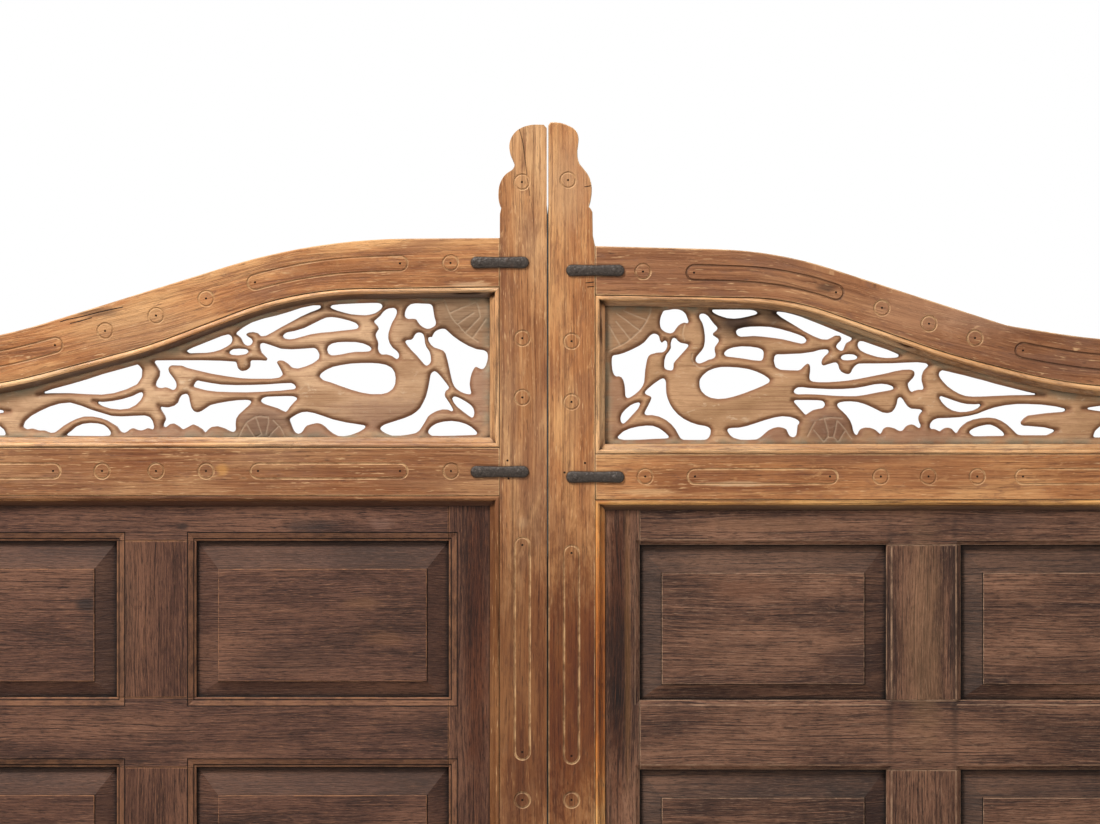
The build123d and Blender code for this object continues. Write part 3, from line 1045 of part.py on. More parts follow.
def build_leaf(leaf):
    """All nodes that ride on one leaf, without the bolts."""
    front_holes = [nail_hole(x, z, FRONT, -1, STRAP_THICKNESS) for x, z in strap_nail_places(leaf)]
    back_holes = [nail_hole(x, z, BACK, 1, cover) for x, z, cover in back_nail_places(leaf)]
    holes = front_holes + back_holes
    nodes = {
        "meeting_stile": meeting_stile(leaf) - holes,
        "hinge_stile": hinge_stile(leaf) - holes,
        "top_rail": top_rail(leaf) - holes,
        "mid_rail": straight_rail(leaf, leaf.mid_foot, leaf.carving_foot, True) - holes,
        "bottom_rail": straight_rail(leaf, GROUND_CLEARANCE, leaf.lower_foot, False) - holes,
        "carved_panel": carved_panel(leaf),
        "upper_beads": upper_beads(leaf),
        "lower_beads": lower_beads(leaf),
    }
    nodes |= insert_frame(leaf)
    for row_name, row in zip(("top", "middle", "bottom"), panel_openings(leaf)):
        for column_name, (x, z) in zip(("inner", "outer"), row):
            nodes[f"{row_name}_{column_name}_panel"] = raised_panel(x, z)
    nodes["joint_straps"] = [joint_strap(x, z) - front_holes for x, z in strap_places(leaf)]
    strap_nails = [square_nail(x, z, FRONT, -1, STRAP_THICKNESS) for x, z in strap_nail_places(leaf)]
    nodes["strap_nails"] = strap_nails
    nodes["hinge_straps"] = [hinge_strap(leaf, height) - back_holes for height in leaf.hinge_heights()]
    nodes["back_nails"] = [square_nail(x, z, BACK, 1, cover) for x, z, cover in back_nail_places(leaf)]
    return {f"{leaf.name}_{name}": shape for name, shape in nodes.items()}


def build_bolts():
    """Bolts with their guides and keeper, on the backs of the leaves."""
    height = slide_bolt_height(LEFT)
    left_holes = [nail_hole(x, z, BACK, 1, cover) for x, z, cover in back_nail_places(LEFT)]
    right_holes = [nail_hole(x, z, BACK, 1, cover) for x, z, cover in back_nail_places(RIGHT)]
    guides = [Pos(LEFT.x(place), BACK, height) * bolt_guide() for place in slide_guide_places()]
    keeper = Pos(RIGHT.x(KEEPER_PLACE), BACK, height) * bolt_guide()
    upright = Rot(0, 90, 0)
    drop_guides = [Pos(drop_bolt_x(RIGHT), BACK, z) * upright * bolt_guide() for z in drop_guide_heights()]
    return {
        "slide_bolt": slide_bolt(LEFT),
        "bolt_guides": [guide - left_holes for guide in guides],
        "bolt_keeper": keeper - right_holes,
        "drop_bolt": drop_bolt(RIGHT),
        "drop_bolt_guides": [guide - right_holes for guide in drop_guides],
    }


def threshold_tenon(play=0.0):
    """Depth and height limits of the threshold's tenons, or of their mortises with play."""
    depth = grown((POST_FRONT + POST_DEPTH / 4, POST_BACK - POST_DEPTH / 4), play)
    height = grown((THRESHOLD_HEIGHT / 4, THRESHOLD_HEIGHT * 3 / 4), play)
    return depth, height


def post(leaf):
    """Square post beside a leaf, with anchor holes and a mortise for the threshold."""
    inner = post_inner(leaf)
    span = tuple(sorted((inner, inner + leaf.side * POST_WIDTH)))
    head = max(LEFT.hinge_rail_top, RIGHT.hinge_rail_top) + POST_RISE
    body = block(span, (POST_FRONT, POST_BACK), (0.0, head))
    body = chamfer(body.faces().sort_by(Axis.Z)[-1].edges(), POST_CAP_CHAMFER)
    depth, height = threshold_tenon(JOINT_PLAY)
    tenon = THRESHOLD_TENON + JOINT_PLAY
    body -= block(tuple(sorted((inner, inner + leaf.side * tenon))), depth, height)
    middle = (POST_FRONT + POST_BACK) / 2
    bore = Rot(0, 90, 0) * Cylinder(ANCHOR_RADIUS, POST_WIDTH + OVERRUN)
    body -= [Pos((span[0] + span[1]) / 2, middle, z) * bore for z in (ANCHOR_LOW, ANCHOR_HIGH)]
    return body - [nail_hole(x, z, POST_BACK, 1, HOOK_THICKNESS) for x, z in hook_nail_places(leaf)]


def threshold():
    """Sill between the posts, with a stop in front of the leaves and a socket for the drop bolt."""
    left, right = post_inner(LEFT), post_inner(RIGHT)
    half = THRESHOLD_DEPTH / 2
    sill = block((left, right), (-half, half), (0.0, THRESHOLD_HEIGHT))
    stop_height = (THRESHOLD_HEIGHT, THRESHOLD_HEIGHT + STOP_HEIGHT)
    sill += block((left, right), (-half, FRONT - STOP_GAP), stop_height)
    depth, height = threshold_tenon()
    sill += block((left - THRESHOLD_TENON, right + THRESHOLD_TENON), depth, height)
    base = (Align.CENTER, Align.CENTER, Align.MIN)
    socket = Cylinder(BOLT_RADIUS + SOCKET_PLAY, THRESHOLD_HEIGHT, align=base)
    return sill - Pos(drop_bolt_x(RIGHT), BOLT_DEPTH, SOCKET_FLOOR) * socket


def build_surround():
    """Posts, threshold and the hooks that carry the leaves."""
    nodes = {"threshold": threshold()}
    nails = []
    for leaf in (LEFT, RIGHT):
        holes = [nail_hole(x, z, POST_BACK, 1, HOOK_THICKNESS) for x, z in hook_nail_places(leaf)]
        nodes[f"{leaf.name}_post"] = post(leaf)
        hooks = [hinge_hook(leaf, height) - holes for height in leaf.hinge_heights()]
        nodes[f"{leaf.name}_hinge_hooks"] = hooks
        nails += [square_nail(x, z, POST_BACK, 1, HOOK_THICKNESS) for x, z in hook_nail_places(leaf)]
    nodes["hook_nails"] = nails
    return nodes


def write_node(name, shape):
    """Save one node; a list is saved as a group of separate solids."""
    if isinstance(shape, list):
        shape = Compound(children=[solid for piece in shape for solid in piece.solids()])
    export_step(shape, f"parts/{name}.step")


LEFT = Leaf(
    name="left", side=-1, width=LEFT_LEAF_WIDTH, lower_height=LOWER_HEIGHT, mid_rail=MID_RAIL_DEPTH,
    carving_height=CARVING_HEIGHT, carving_fall=CARVING_FALL, rail_fall=RAIL_FALL,
    finial_height=FINIAL_HEIGHT, insert_stile=LEFT_INSERT_STILE, muntin=LEFT_MUNTIN,
    moulding=LEFT_MOULDING_WIDTH, rail_top_px=LEFT_RAIL_TOP_PX, rail_foot_px=LEFT_RAIL_FOOT_PX,
    top_bend_shares=LEFT_TOP_BEND_SHARES, foot_bend_shares=LEFT_FOOT_BEND_SHARES,
    carving_foot_px=LEFT_CARVING_FOOT_PX, finial_edges_px=LEFT_FINIAL_EDGES_PX, shoulder_px=LEFT_SHOULDER_PX,
    lobes_px=LEFT_LOBES_PX, crown_px=LEFT_CROWN_PX,
    piercings_px=LEFT_WAVE_PIERCINGS_PX + LEFT_TAIL_PIERCINGS_PX + LEFT_WING_PIERCINGS_PX
    + LEFT_FOLIAGE_PIERCINGS_PX + [lens_px(*lens) for lens in LEFT_LENSES_PX]
    + [arch_px(*arch) for arch in LEFT_ARCHES_PX],
)
RIGHT = Leaf(
    name="right", side=1, width=RIGHT_LEAF_WIDTH, lower_height=LOWER_HEIGHT - RIGHT_LOWER_LESS,
    mid_rail=MID_RAIL_DEPTH - RIGHT_MID_RAIL_LESS, carving_height=CARVING_HEIGHT - RIGHT_CARVING_LESS,
    carving_fall=CARVING_FALL - RIGHT_CARVING_FALL_LESS, rail_fall=RAIL_FALL - RIGHT_RAIL_FALL_LESS,
    finial_height=FINIAL_HEIGHT + RIGHT_FINIAL_MORE, insert_stile=RIGHT_INSERT_STILE, muntin=RIGHT_MUNTIN,
    moulding=RIGHT_MOULDING_WIDTH, rail_top_px=RIGHT_RAIL_TOP_PX, rail_foot_px=RIGHT_RAIL_FOOT_PX,
    top_bend_shares=RIGHT_TOP_BEND_SHARES, foot_bend_shares=RIGHT_FOOT_BEND_SHARES,
    carving_foot_px=RIGHT_CARVING_FOOT_PX, finial_edges_px=RIGHT_FINIAL_EDGES_PX,
    shoulder_px=RIGHT_SHOULDER_PX,
    lobes_px=RIGHT_LOBES_PX, crown_px=RIGHT_CROWN_PX,
    piercings_px=RIGHT_FOLIAGE_PIERCINGS_PX + RIGHT_WING_PIERCINGS_PX + RIGHT_TAIL_PIERCINGS_PX
    + RIGHT_WAVE_PIERCINGS_PX + [lens_px(*lens) for lens in RIGHT_LENSES_PX]
    + [arch_px(*arch) for arch in RIGHT_ARCHES_PX],
)

os.makedirs("parts", exist_ok=True)
gate = build_leaf(LEFT) | build_leaf(RIGHT) | build_bolts() | build_surround()
for node_name, node_shape in gate.items():
    write_node(node_name, node_shape)
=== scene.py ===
"""Looks of a weathered timber gate: worn golden frame, pierced carving, dark panels and forged iron."""

import json
import logging
import math
from dataclasses import dataclass, field
from enum import Enum
from typing import Callable, Mapping, Sequence

import bmesh
import bpy
import numpy as np
from mathutils import Matrix, Vector, kdtree, noise

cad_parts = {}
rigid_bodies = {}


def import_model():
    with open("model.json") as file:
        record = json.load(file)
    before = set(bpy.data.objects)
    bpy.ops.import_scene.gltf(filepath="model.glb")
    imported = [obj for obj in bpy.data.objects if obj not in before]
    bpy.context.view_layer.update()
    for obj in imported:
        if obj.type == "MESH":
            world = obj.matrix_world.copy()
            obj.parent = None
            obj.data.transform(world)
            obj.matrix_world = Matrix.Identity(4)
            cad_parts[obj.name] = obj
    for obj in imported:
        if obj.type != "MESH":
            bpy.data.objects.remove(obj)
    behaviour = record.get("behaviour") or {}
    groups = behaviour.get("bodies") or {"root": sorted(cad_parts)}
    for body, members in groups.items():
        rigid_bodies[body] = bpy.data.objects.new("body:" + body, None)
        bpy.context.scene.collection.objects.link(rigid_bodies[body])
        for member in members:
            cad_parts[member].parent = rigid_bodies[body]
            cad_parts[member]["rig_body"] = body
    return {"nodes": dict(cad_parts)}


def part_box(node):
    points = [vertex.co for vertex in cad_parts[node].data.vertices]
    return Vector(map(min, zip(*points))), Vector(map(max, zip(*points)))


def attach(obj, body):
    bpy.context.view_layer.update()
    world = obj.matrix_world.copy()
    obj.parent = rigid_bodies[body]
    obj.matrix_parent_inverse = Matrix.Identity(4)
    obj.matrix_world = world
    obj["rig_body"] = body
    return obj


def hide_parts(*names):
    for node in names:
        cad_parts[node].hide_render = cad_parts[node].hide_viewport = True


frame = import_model()

Socket = bpy.types.NodeSocket
Material = bpy.types.Material
Piece = bpy.types.Object

LOG = logging.getLogger("gate")

# Start of the noise that makes beads and nail heads uneven, the same in every run
NOISE_SEED = 7

# The photograph's scale on the front of the leaves, in metres for each of its pixels
PIXEL = 0.002
MEETING_PX = 547.5
GROUND_PX = 1278.0
MEETING_X = 0.030

# Depths of the leaves, as the solids have them
FRONT = -0.025
BACK = 0.025
CARVING_FRONT = -0.006
CARVING_BACK = 0.018
# Depths over which the painted shade of a bead's hollows grows
QUIRK_DEPTHS = (FRONT + 0.0015, FRONT + 0.009)
PLANE_SLACK = 1e-4
WELD = 1e-5
STROKE_WELD = 1e-6

# Degrees below which faces count as flat and above which edges are arrises, or sharp on plain, moulded
# and rounded pieces
FLAT_DEGREES = 0.3
ARRIS_DEGREES = 28.0
SHARP_DEGREES = 38.0
MOULDED_DEGREES = 40.0
ROUND_DEGREES = 60.0

# Turn of an upright cone to the front
FACING = Matrix.Rotation(math.radians(90.0), 4, "X")

# Shares stored on the faces for the finishes to read
WEAR = "wear"
GROOVE = "groove"
# Painted light and shade of a panel's bevel, by the way it faces
BEVEL = "bevel"
# Share of painted shade in a bead's hollows
BEAD_SHADE = "bead_shade"
MARKS = (WEAR, GROOVE, BEVEL)

# The record's slots
FRAME_SLOT = "frame_wood"
CARVING_SLOT = "carved_wood"
PANEL_SLOT = "panel_wood"
IRON_SLOT = "iron"

# Colour sockets of a mix node, samples of the dirt and painted shade in corners, how far fibres sway, how
# ragged a patch is, and where its soft edge lies
MIX_FIRST, MIX_SECOND, MIX_RESULT = 6, 7, 2
CREVICE_SAMPLES = 6
GRAIN_SWAY = 0.03
SPOT_RAGGED = 1.2
SPOT_EDGE = (1.7, 0.9)


def at_pixel(px: float, py: float, depth: float = FRONT) -> Vector:
    """Place of a photo point on a plane of the gate.

    Args:
        px: Pixels from the photo's left edge.
        py: Pixels from the photo's top edge.
        depth: Y of the plane.

    Returns:
        The point in the gate's frame, in metres.
    """
    return Vector((MEETING_X + (px - MEETING_PX) * PIXEL, depth, (GROUND_PX - py) * PIXEL))


def tone(code: str) -> tuple[float, float, float, float]:
    """Linear colour of a written screen colour such as 'a0703c'.

    Args:
        code: Its six digits.

    Returns:
        Red, green, blue and a full alpha.
    """
    parts = [int(code[i:i + 2], 16) / 255 for i in (0, 2, 4)]
    linear = [p / 12.92 if p <= 0.04045 else ((p + 0.055) / 1.055) ** 2.4 for p in parts]
    return linear[0], linear[1], linear[2], 1.0


class Grain(Enum):
    """Way in which the fibres of a piece run."""

    ALONG_X = "along_x"
    ALONG_Z = "along_z"
    STORED = "stored"


# Noise, its value where a layer begins, its value where the layer is full, the layer's share and its colour
Layer = tuple[Socket, float, float, float, str]


class Shader:
    """Builds one node material step by step."""

    def __init__(self, name: str, roughness: float = 0.6, specular: float = 0.35, metallic: float = 0.0):
        """Start a material with plain surface values.

        Args:
            name: The material's name.
            roughness: Its roughness.
            specular: Its specular level.
            metallic: Its share of metal.
        """
        self.material = bpy.data.materials.new(name)
        self.material.use_nodes = True
        self.tree = self.material.node_tree
        self.surface = self.tree.nodes["Principled BSDF"]
        self.surface.inputs["Roughness"].default_value = roughness
        self.surface.inputs["Specular IOR Level"].default_value = specular
        self.surface.inputs["Metallic"].default_value = metallic

    def node(self, kind: str, inputs: Mapping[int | str, object] | None = None,
             **settings: object) -> bpy.types.Node:
        """Add a node, set its properties and feed its sockets.

        Args:
            kind: Type of the node.
            inputs: Link or constant of each socket, by the socket's number or name.
            settings: Properties of the node.

        Returns:
            The node.
        """
        made = self.tree.nodes.new(kind)
        for key, value in settings.items():
            setattr(made, key, value)
        for key, value in (inputs or {}).items():
            self.feed(made.inputs[key], value)
        return made

    def feed(self, socket: Socket, value: object) -> None:
        """Link a socket, or set its constant.

        Args:
            socket: Input of a node.
            value: Link or constant.
        """
        if isinstance(value, Socket):
            self.tree.links.new(value, socket)
        else:
            socket.default_value = value

    def coordinates(self, grain: Grain) -> Socket:
        """Vector of (along the grain, across it, depth), in metres.

        Args:
            grain: Way of the fibres.

        Returns:
            The vector's socket.
        """
        if grain is Grain.STORED:
            return self.node("ShaderNodeAttribute", attribute_name="grain").outputs["Vector"]
        split = self.node("ShaderNodeSeparateXYZ", {0: self.place()})
        order = "XZY" if grain is Grain.ALONG_X else "ZXY"
        parts = {index: split.outputs[axis] for index, axis in enumerate(order)}
        return self.node("ShaderNodeCombineXYZ", parts).outputs[0]

    def place(self) -> Socket:
        """Place in the piece's own frame, in metres."""
        return self.node("ShaderNodeTexCoord").outputs["Object"]

    def part(self, vector: Socket, axis: str) -> Socket:
        """One component of a vector."""
        return self.node("ShaderNodeSeparateXYZ", {0: vector}).outputs[axis]

    def vector(self, operation: str, first: object, second: object) -> Socket:
        """Vector sum, product or the like."""
        return self.node("ShaderNodeVectorMath", {0: first, 1: second}, operation=operation).outputs[0]

    def math(self, operation: str, first: object, second: object = 0.0) -> Socket:
        """Sum, product or the like of two numbers."""
        return self.node("ShaderNodeMath", {0: first, 1: second}, operation=operation).outputs[0]

    def noise(self, vector: Socket, stretch: Sequence[float], detail: float = 3.0,
              rough: float = 0.55, bend: float = 0.0) -> Socket:
        """Noise with its own scale along each axis.

        Args:
            vector: Coordinates in metres.
            stretch: Waves to the metre along the three axes.
            detail: Octaves.
            rough: Weight of the finer octaves.
            bend: Distortion.

        Returns:
            The noise, from 0 to 1.
        """
        scaled = self.vector("MULTIPLY", vector, tuple(stretch))
        return self.node("ShaderNodeTexNoise", {"Vector": scaled, "Scale": 1.0, "Detail": detail,
                                                "Roughness": rough, "Distortion": bend}).outputs[0]

    def between(self, value: object, low: float, high: float, to_low: float = 0.0,
                to_high: float = 1.0) -> Socket:
        """Smooth step of a value from one range to another.

        Args:
            value: Number or socket.
            low: Value that gives to_low.
            high: Value that gives to_high.
            to_low: Result at low.
            to_high: Result at high.

        Returns:
            The stepped value.
        """
        values = dict(enumerate((value, low, high, to_low, to_high)))
        return self.node("ShaderNodeMapRange", values, interpolation_type="SMOOTHSTEP").outputs[0]

    def ramp(self, value: Socket, stops: Sequence[tuple[float, str]]) -> Socket:
        """Colour ramp through written colours.

        Args:
            value: Where on the ramp a point is.
            stops: Place and colour of each stop.

        Returns:
            The colour.
        """
        made = self.node("ShaderNodeValToRGB", {0: value})
        elements = made.color_ramp.elements
        while len(elements) < len(stops):
            elements.new(0.5)
        for element, (place, code) in zip(elements, stops):
            element.position = place
            element.color = tone(code)
        return made.outputs[0]

    def mix(self, share: object, first: object, second: object, blend: str = "MIX") -> Socket:
        """Mix of two colours.

        Args:
            share: Share of the second colour.
            first: Written colour or link.
            second: Written colour or link.
            blend: Way of mixing.

        Returns:
            The mixed colour.
        """
        first, second = (tone(side) if isinstance(side, str) else side for side in (first, second))
        values = {0: share, MIX_FIRST: first, MIX_SECOND: second}
        return self.node("ShaderNodeMix", values, data_type="RGBA", blend_type=blend).outputs[MIX_RESULT]

    def layers(self, colour: Socket, rows: Sequence[Layer]) -> Socket:
        """Lay colours over one another where noises pass their limits.

        Args:
            colour: Colour so far.
            rows: For each layer a noise, where the layer begins and is full, its share and its colour.

        Returns:
            The new colour.
        """
        for value, start, full, share, code in rows:
            colour = self.mix(self.between(value, start, full, 0.0, share), colour, code)
        return colour

    def share(self, name: str) -> Socket:
        """Share that a mesh stores under a name."""
        return self.node("ShaderNodeAttribute", attribute_name=name).outputs["Fac"]

    def swayed(self, vector: Socket, stretch: Sequence[float]) -> Socket:
        """Coordinates whose fibres sway a little across the grain.

        Args:
            vector: Coordinates along the grain.
            stretch: Waves to the metre.

        Returns:
            The swayed coordinates.
        """
        side = self.math("SUBTRACT", self.noise(vector, stretch, 2.0), 0.5)
        offset = self.node("ShaderNodeCombineXYZ", {1: self.math("MULTIPLY", side, GRAIN_SWAY)})
        return self.vector("ADD", vector, offset.outputs[0])

    def crevice(self, reach: float, low: float, high: float) -> Socket:
        """Share of dirt and painted shade in corners and quirks.

        Args:
            reach: Distance over which neighbours count, in metres.
            low: Openness that gets the full share of dirt and painted shade.
            high: Openness that is clean and unshaded.

        Returns:
            The share, from 0 to 1.
        """
        made = self.node("ShaderNodeAmbientOcclusion", {"Distance": reach}, samples=CREVICE_SAMPLES)
        return self.between(made.outputs["AO"], low, high, 1.0, 0.0)

    def bump(self, height: Socket, strength: float, depth: float) -> None:
        """Set the surface's fine relief."""
        made = self.node("ShaderNodeBump", {"Strength": strength, "Distance": depth, "Height": height})
        self.feed(self.surface.inputs["Normal"], made.outputs[0])

    def finish(self, colour: Socket, roughness: Socket) -> Material:
        """Link colour and roughness and hand out the material.

        Args:
            colour: The last colour.
            roughness: The roughness.

        Returns:
            The material.
        """
        self.feed(self.surface.inputs["Base Color"], colour)
        self.feed(self.surface.inputs["Roughness"], roughness)
        return self.material


@dataclass(frozen=True)
class Spot:
    """Soft-edged patch on the front, in photo points."""

    px: float
    py: float
    wide: float
    high: float
    colour: str
    share: float
    blend: str = "MIX"

    def lay(self, shader: Shader, colour: Socket, ragged: Socket) -> Socket:
        """Mix the patch into a colour.

        Args:
            shader: Material that is being built.
            colour: Colour so far.
            ragged: Noise that breaks the patch's edge.

        Returns:
            The new colour.
        """
        away = shader.vector("SUBTRACT", shader.place(), tuple(at_pixel(self.px, self.py)))
        size = (1 / (self.wide * PIXEL), 0.0, 1 / (self.high * PIXEL))
        scaled = shader.vector("MULTIPLY", away, size)
        length = shader.node("ShaderNodeVectorMath", {0: scaled}, operation="LENGTH")
        reach = shader.math("ADD", length.outputs["Value"], shader.math("MULTIPLY", ragged, SPOT_RAGGED))
        return shader.mix(shader.between(reach, *SPOT_EDGE, 0.0, self.share), colour, self.colour, self.blend)


@dataclass(frozen=True)
class TimberFinish:
    """Weathered golden softwood of the frame."""

    name: str
    grain: Grain
    pale: str = "d69f68"
    body: str = "b37646"
    deep: str = "824c27"
    line: str = "55290f"
    stain: str = "7c5037"
    stain_share: float = 0.55
    # Colour of dirt, and of painted shade in corners, bead hollows and dark grooves
    dirt_and_shade: str = "24140b"
    dust: str = "dcb07f"
    gloss: float = 0.3
    # Whether the bead hollows get painted shade
    quirk_shade: bool = False
    spots: tuple[Spot, ...] = ()
    slot: str = FRAME_SLOT

    def material(self) -> Material:
        """Golden wood with straight grain, stains, scuffs, worn pale edges, dirt and painted shade in the
        corners, and painted shade in the bead hollows.

        Returns:
            The material.
        """
        shader = Shader(self.name, specular=self.gloss)
        raw = shader.coordinates(self.grain)
        vector = shader.swayed(raw, (1.3, 6.0, 6.0))
        cloud = shader.noise(raw, (2.4, 11.0, 8.0), 4.0, 0.6)
        rings = shader.noise(vector, (1.4, 140.0, 50.0), 4.0, 0.62)
        fibre = shader.noise(vector, (14.0, 400.0, 260.0), 4.0, 0.7)
        mottle = shader.noise(raw, (30.0, 75.0, 60.0), 5.0, 0.68, 0.3)
        fleck = shader.noise(vector, (36.0, 420.0, 380.0), 2.0, 0.5)
        stain = shader.noise(raw, (3.4, 12.0, 9.0), 5.0, 0.65, 0.5)
        colour = shader.ramp(cloud, ((0.34, self.deep), (0.5, self.body), (0.65, self.pale)))
        colour = shader.layers(colour, (
            (rings, 0.5, 0.66, 0.48, self.line), (rings, 0.47, 0.32, 0.42, self.pale),
            (fibre, 0.5, 0.66, 0.55, self.line), (fibre, 0.46, 0.32, 0.42, self.pale),
            (stain, 0.5, 0.68, self.stain_share, self.stain), (mottle, 0.53, 0.72, 0.6, self.stain),
            (mottle, 0.43, 0.28, 0.5, self.pale), (fleck, 0.62, 0.74, 0.55, self.dirt_and_shade),
            (fleck, 0.37, 0.27, 0.6, self.dust)))
        for spot in self.spots:
            colour = spot.lay(shader, colour, mottle)
        wear = shader.math("MULTIPLY", shader.share(WEAR), shader.between(mottle, 0.4, 0.6, 0.25, 0.75))
        colour = shader.mix(wear, colour, self.dust)
        groove = shader.share(GROOVE)
        residue = shader.math("MULTIPLY", groove, shader.between(mottle, 0.38, 0.62, 0.15, 0.75))
        colour = shader.mix(shader.math("MAXIMUM", residue, 0.0), colour, self.dust)
        # Painted shade in the deep hollows of the beads, by depth and by each bead's share of shade
        if self.quirk_shade:
            depth = shader.part(shader.place(), "Y")
            hollow_shade = shader.between(depth, *QUIRK_DEPTHS, 0.0, 0.94)
            colour = shader.mix(shader.math("MULTIPLY", hollow_shade, shader.share(BEAD_SHADE)), colour, self.dirt_and_shade)
        # Dirt and painted shade in the corners, less of it in the grooves
        kept = shader.between(groove, 0.0, 1.0, 1.0, 0.4)
        dirt_and_shade = shader.math("MULTIPLY", shader.crevice(0.016, 0.35, 0.9), kept)
        colour = shader.mix(dirt_and_shade, colour, self.dirt_and_shade)
        # Negative groove shares darken: dirt in cracks and drilled dots, painted shade on the meeting edge
        # and in the right rail's strips
        colour = shader.layers(colour, ((groove, 0.0, -1.0, 0.9, self.dirt_and_shade),))
        relief = shader.math("ADD", shader.math("ADD", rings, fibre), shader.math("MULTIPLY", mottle, 0.5))
        shader.bump(shader.math("MULTIPLY", relief, -1.0), 0.65, 0.0024)
        dull = 0.95 - self.gloss
        return shader.finish(colour, shader.between(fibre, 0.3, 0.7, dull - 0.17, dull))


@dataclass(frozen=True)
class CarvingFinish:
    """Dry wood of the pierced panels, paler on the flats and reddish on the rounded rims."""

    name: str
    flat: str = "c8a27c"
    shade: str = "a37d5b"
    rim: str = "784c32"
    paint: str = "868672"
    dust: str = "d9bfa0"
    # Colour of stains and dirt, and of painted shade in the corners
    dirt_and_shade: str = "2e1d13"
    spots: tuple[Spot, ...] = ()
    slot: str = CARVING_SLOT

    def material(self) -> Material:
        """Wood that reads the panel's own rim, border and stain shares.

        Returns:
            The material.
        """
        shader = Shader(self.name, specular=0.25)
        raw = shader.coordinates(Grain.ALONG_X)
        cloud = shader.noise(raw, (6.0, 16.0, 10.0), 4.0, 0.6)
        rings = shader.noise(raw, (2.5, 150.0, 60.0), 4.0, 0.62, 0.3)
        fibre = shader.noise(raw, (18.0, 420.0, 300.0), 4.0, 0.68)
        mottle = shader.noise(raw, (45.0, 80.0, 60.0), 5.0, 0.66, 0.4)
        colour = shader.ramp(cloud, ((0.32, self.shade), (0.6, self.flat)))
        colour = shader.layers(colour, (
            (rings, 0.52, 0.68, 0.45, self.rim), (fibre, 0.51, 0.7, 0.45, self.rim),
            (mottle, 0.52, 0.7, 0.4, self.shade), (mottle, 0.42, 0.28, 0.45, self.dust)))
        for spot in self.spots:
            colour = spot.lay(shader, colour, mottle)
        colour = shader.layers(colour, ((shader.share("rim"), 0.1, 0.95, 0.75, self.rim),))
        patch = shader.noise(raw, (22.0, 30.0, 20.0), 3.0, 0.6)
        paint = shader.math("MULTIPLY", shader.share("border"), shader.between(patch, 0.4, 0.62, 0.05, 0.65))
        colour = shader.mix(paint, colour, self.paint)
        colour = shader.mix(shader.share("stain"), colour, self.dirt_and_shade)
        colour = shader.mix(shader.math("MULTIPLY", shader.share("stroke"), 0.36), colour, self.dust)
        # Dirt and painted shade in the corners
        colour = shader.mix(shader.crevice(0.014, 0.25, 0.8), colour, self.dirt_and_shade)
        relief = shader.math("ADD", shader.math("ADD", rings, fibre), mottle)
        shader.bump(shader.math("MULTIPLY", relief, -1.0), 0.45, 0.0015)
        return shader.finish(colour, shader.between(fibre, 0.3, 0.7, 0.6, 0.8))


@dataclass(frozen=True)
class DarkFinish:
    """Old dark wood of the inserts, with its grain raised by weather."""

    name: str
    grain: Grain
    ridge: str = "8c6650"
    body: str = "67473a"
    deep: str = "301e16"
    dust: str = "a88468"
    # Grey tint of the painted light and shade on the bevels
    grime: str = "4d3f38"
    # Colour of dirt in the pores and grooves, and of painted shade in the corners and at a field's foot
    dirt_and_shade: str = "140b07"
    spots: tuple[Spot, ...] = ()

    def material(self) -> Material:
        """Chocolate brown wood with strong ridges and pale dust on them, painted light and shade on the panel
        bevels, and dirt and painted shade in the corners.

        Returns:
            The material.
        """
        shader = Shader(self.name, specular=0.3)
        raw = shader.coordinates(self.grain)
        vector = shader.swayed(raw, (2.2, 9.0, 9.0))
        cloud = shader.noise(raw, (2.4, 8.0, 8.0), 4.0, 0.6)
        ridge = shader.noise(vector, (5.0, 330.0, 14.0), 4.0, 0.68)
        pore = shader.noise(vector, (48.0, 680.0, 40.0), 4.0, 0.65)
        mottle = shader.noise(raw, (30.0, 60.0, 20.0), 5.0, 0.66, 0.3)
        colour = shader.ramp(cloud, ((0.32, self.deep), (0.47, self.body), (0.66, self.ridge)))
        colour = shader.layers(colour, (
            (ridge, 0.5, 0.63, 0.85, self.deep), (ridge, 0.47, 0.33, 0.7, self.ridge),
            (pore, 0.52, 0.66, 0.8, self.dirt_and_shade), (pore, 0.45, 0.3, 0.5, self.dust),
            (mottle, 0.53, 0.72, 0.5, self.deep), (mottle, 0.42, 0.28, 0.35, self.ridge)))
        for spot in self.spots:
            colour = spot.lay(shader, colour, mottle)
        # Painted light and shade on the bevels: the grey tint above zero, the deep tone below zero
        bevel = shader.share(BEVEL)
        colour = shader.mix(shader.math("MAXIMUM", bevel, 0.0), colour, self.grime)
        shade = shader.math("MAXIMUM", shader.math("MULTIPLY", bevel, -1.0), 0.0)
        colour = shader.mix(shade, colour, self.deep)
        wear = shader.math("MULTIPLY", shader.share(WEAR), shader.between(mottle, 0.4, 0.6, 0.2, 0.8))
        colour = shader.mix(wear, colour, self.dust)
        # Negative groove shares darken: the moulding quirks, and the painted shadow line at a field's foot
        colour = shader.layers(colour, ((shader.share(GROOVE), 0.0, -1.0, 0.85, self.dirt_and_shade),))
        # Dirt and painted shade in the corners
        colour = shader.mix(shader.crevice(0.022, 0.35, 0.88), colour, self.dirt_and_shade)
        relief = shader.math("ADD", shader.math("ADD", ridge, pore), shader.math("MULTIPLY", mottle, 0.6))
        shader.bump(shader.math("MULTIPLY", relief, -1.0), 0.8, 0.003)
        return shader.finish(colour, shader.between(pore, 0.3, 0.7, 0.5, 0.75))


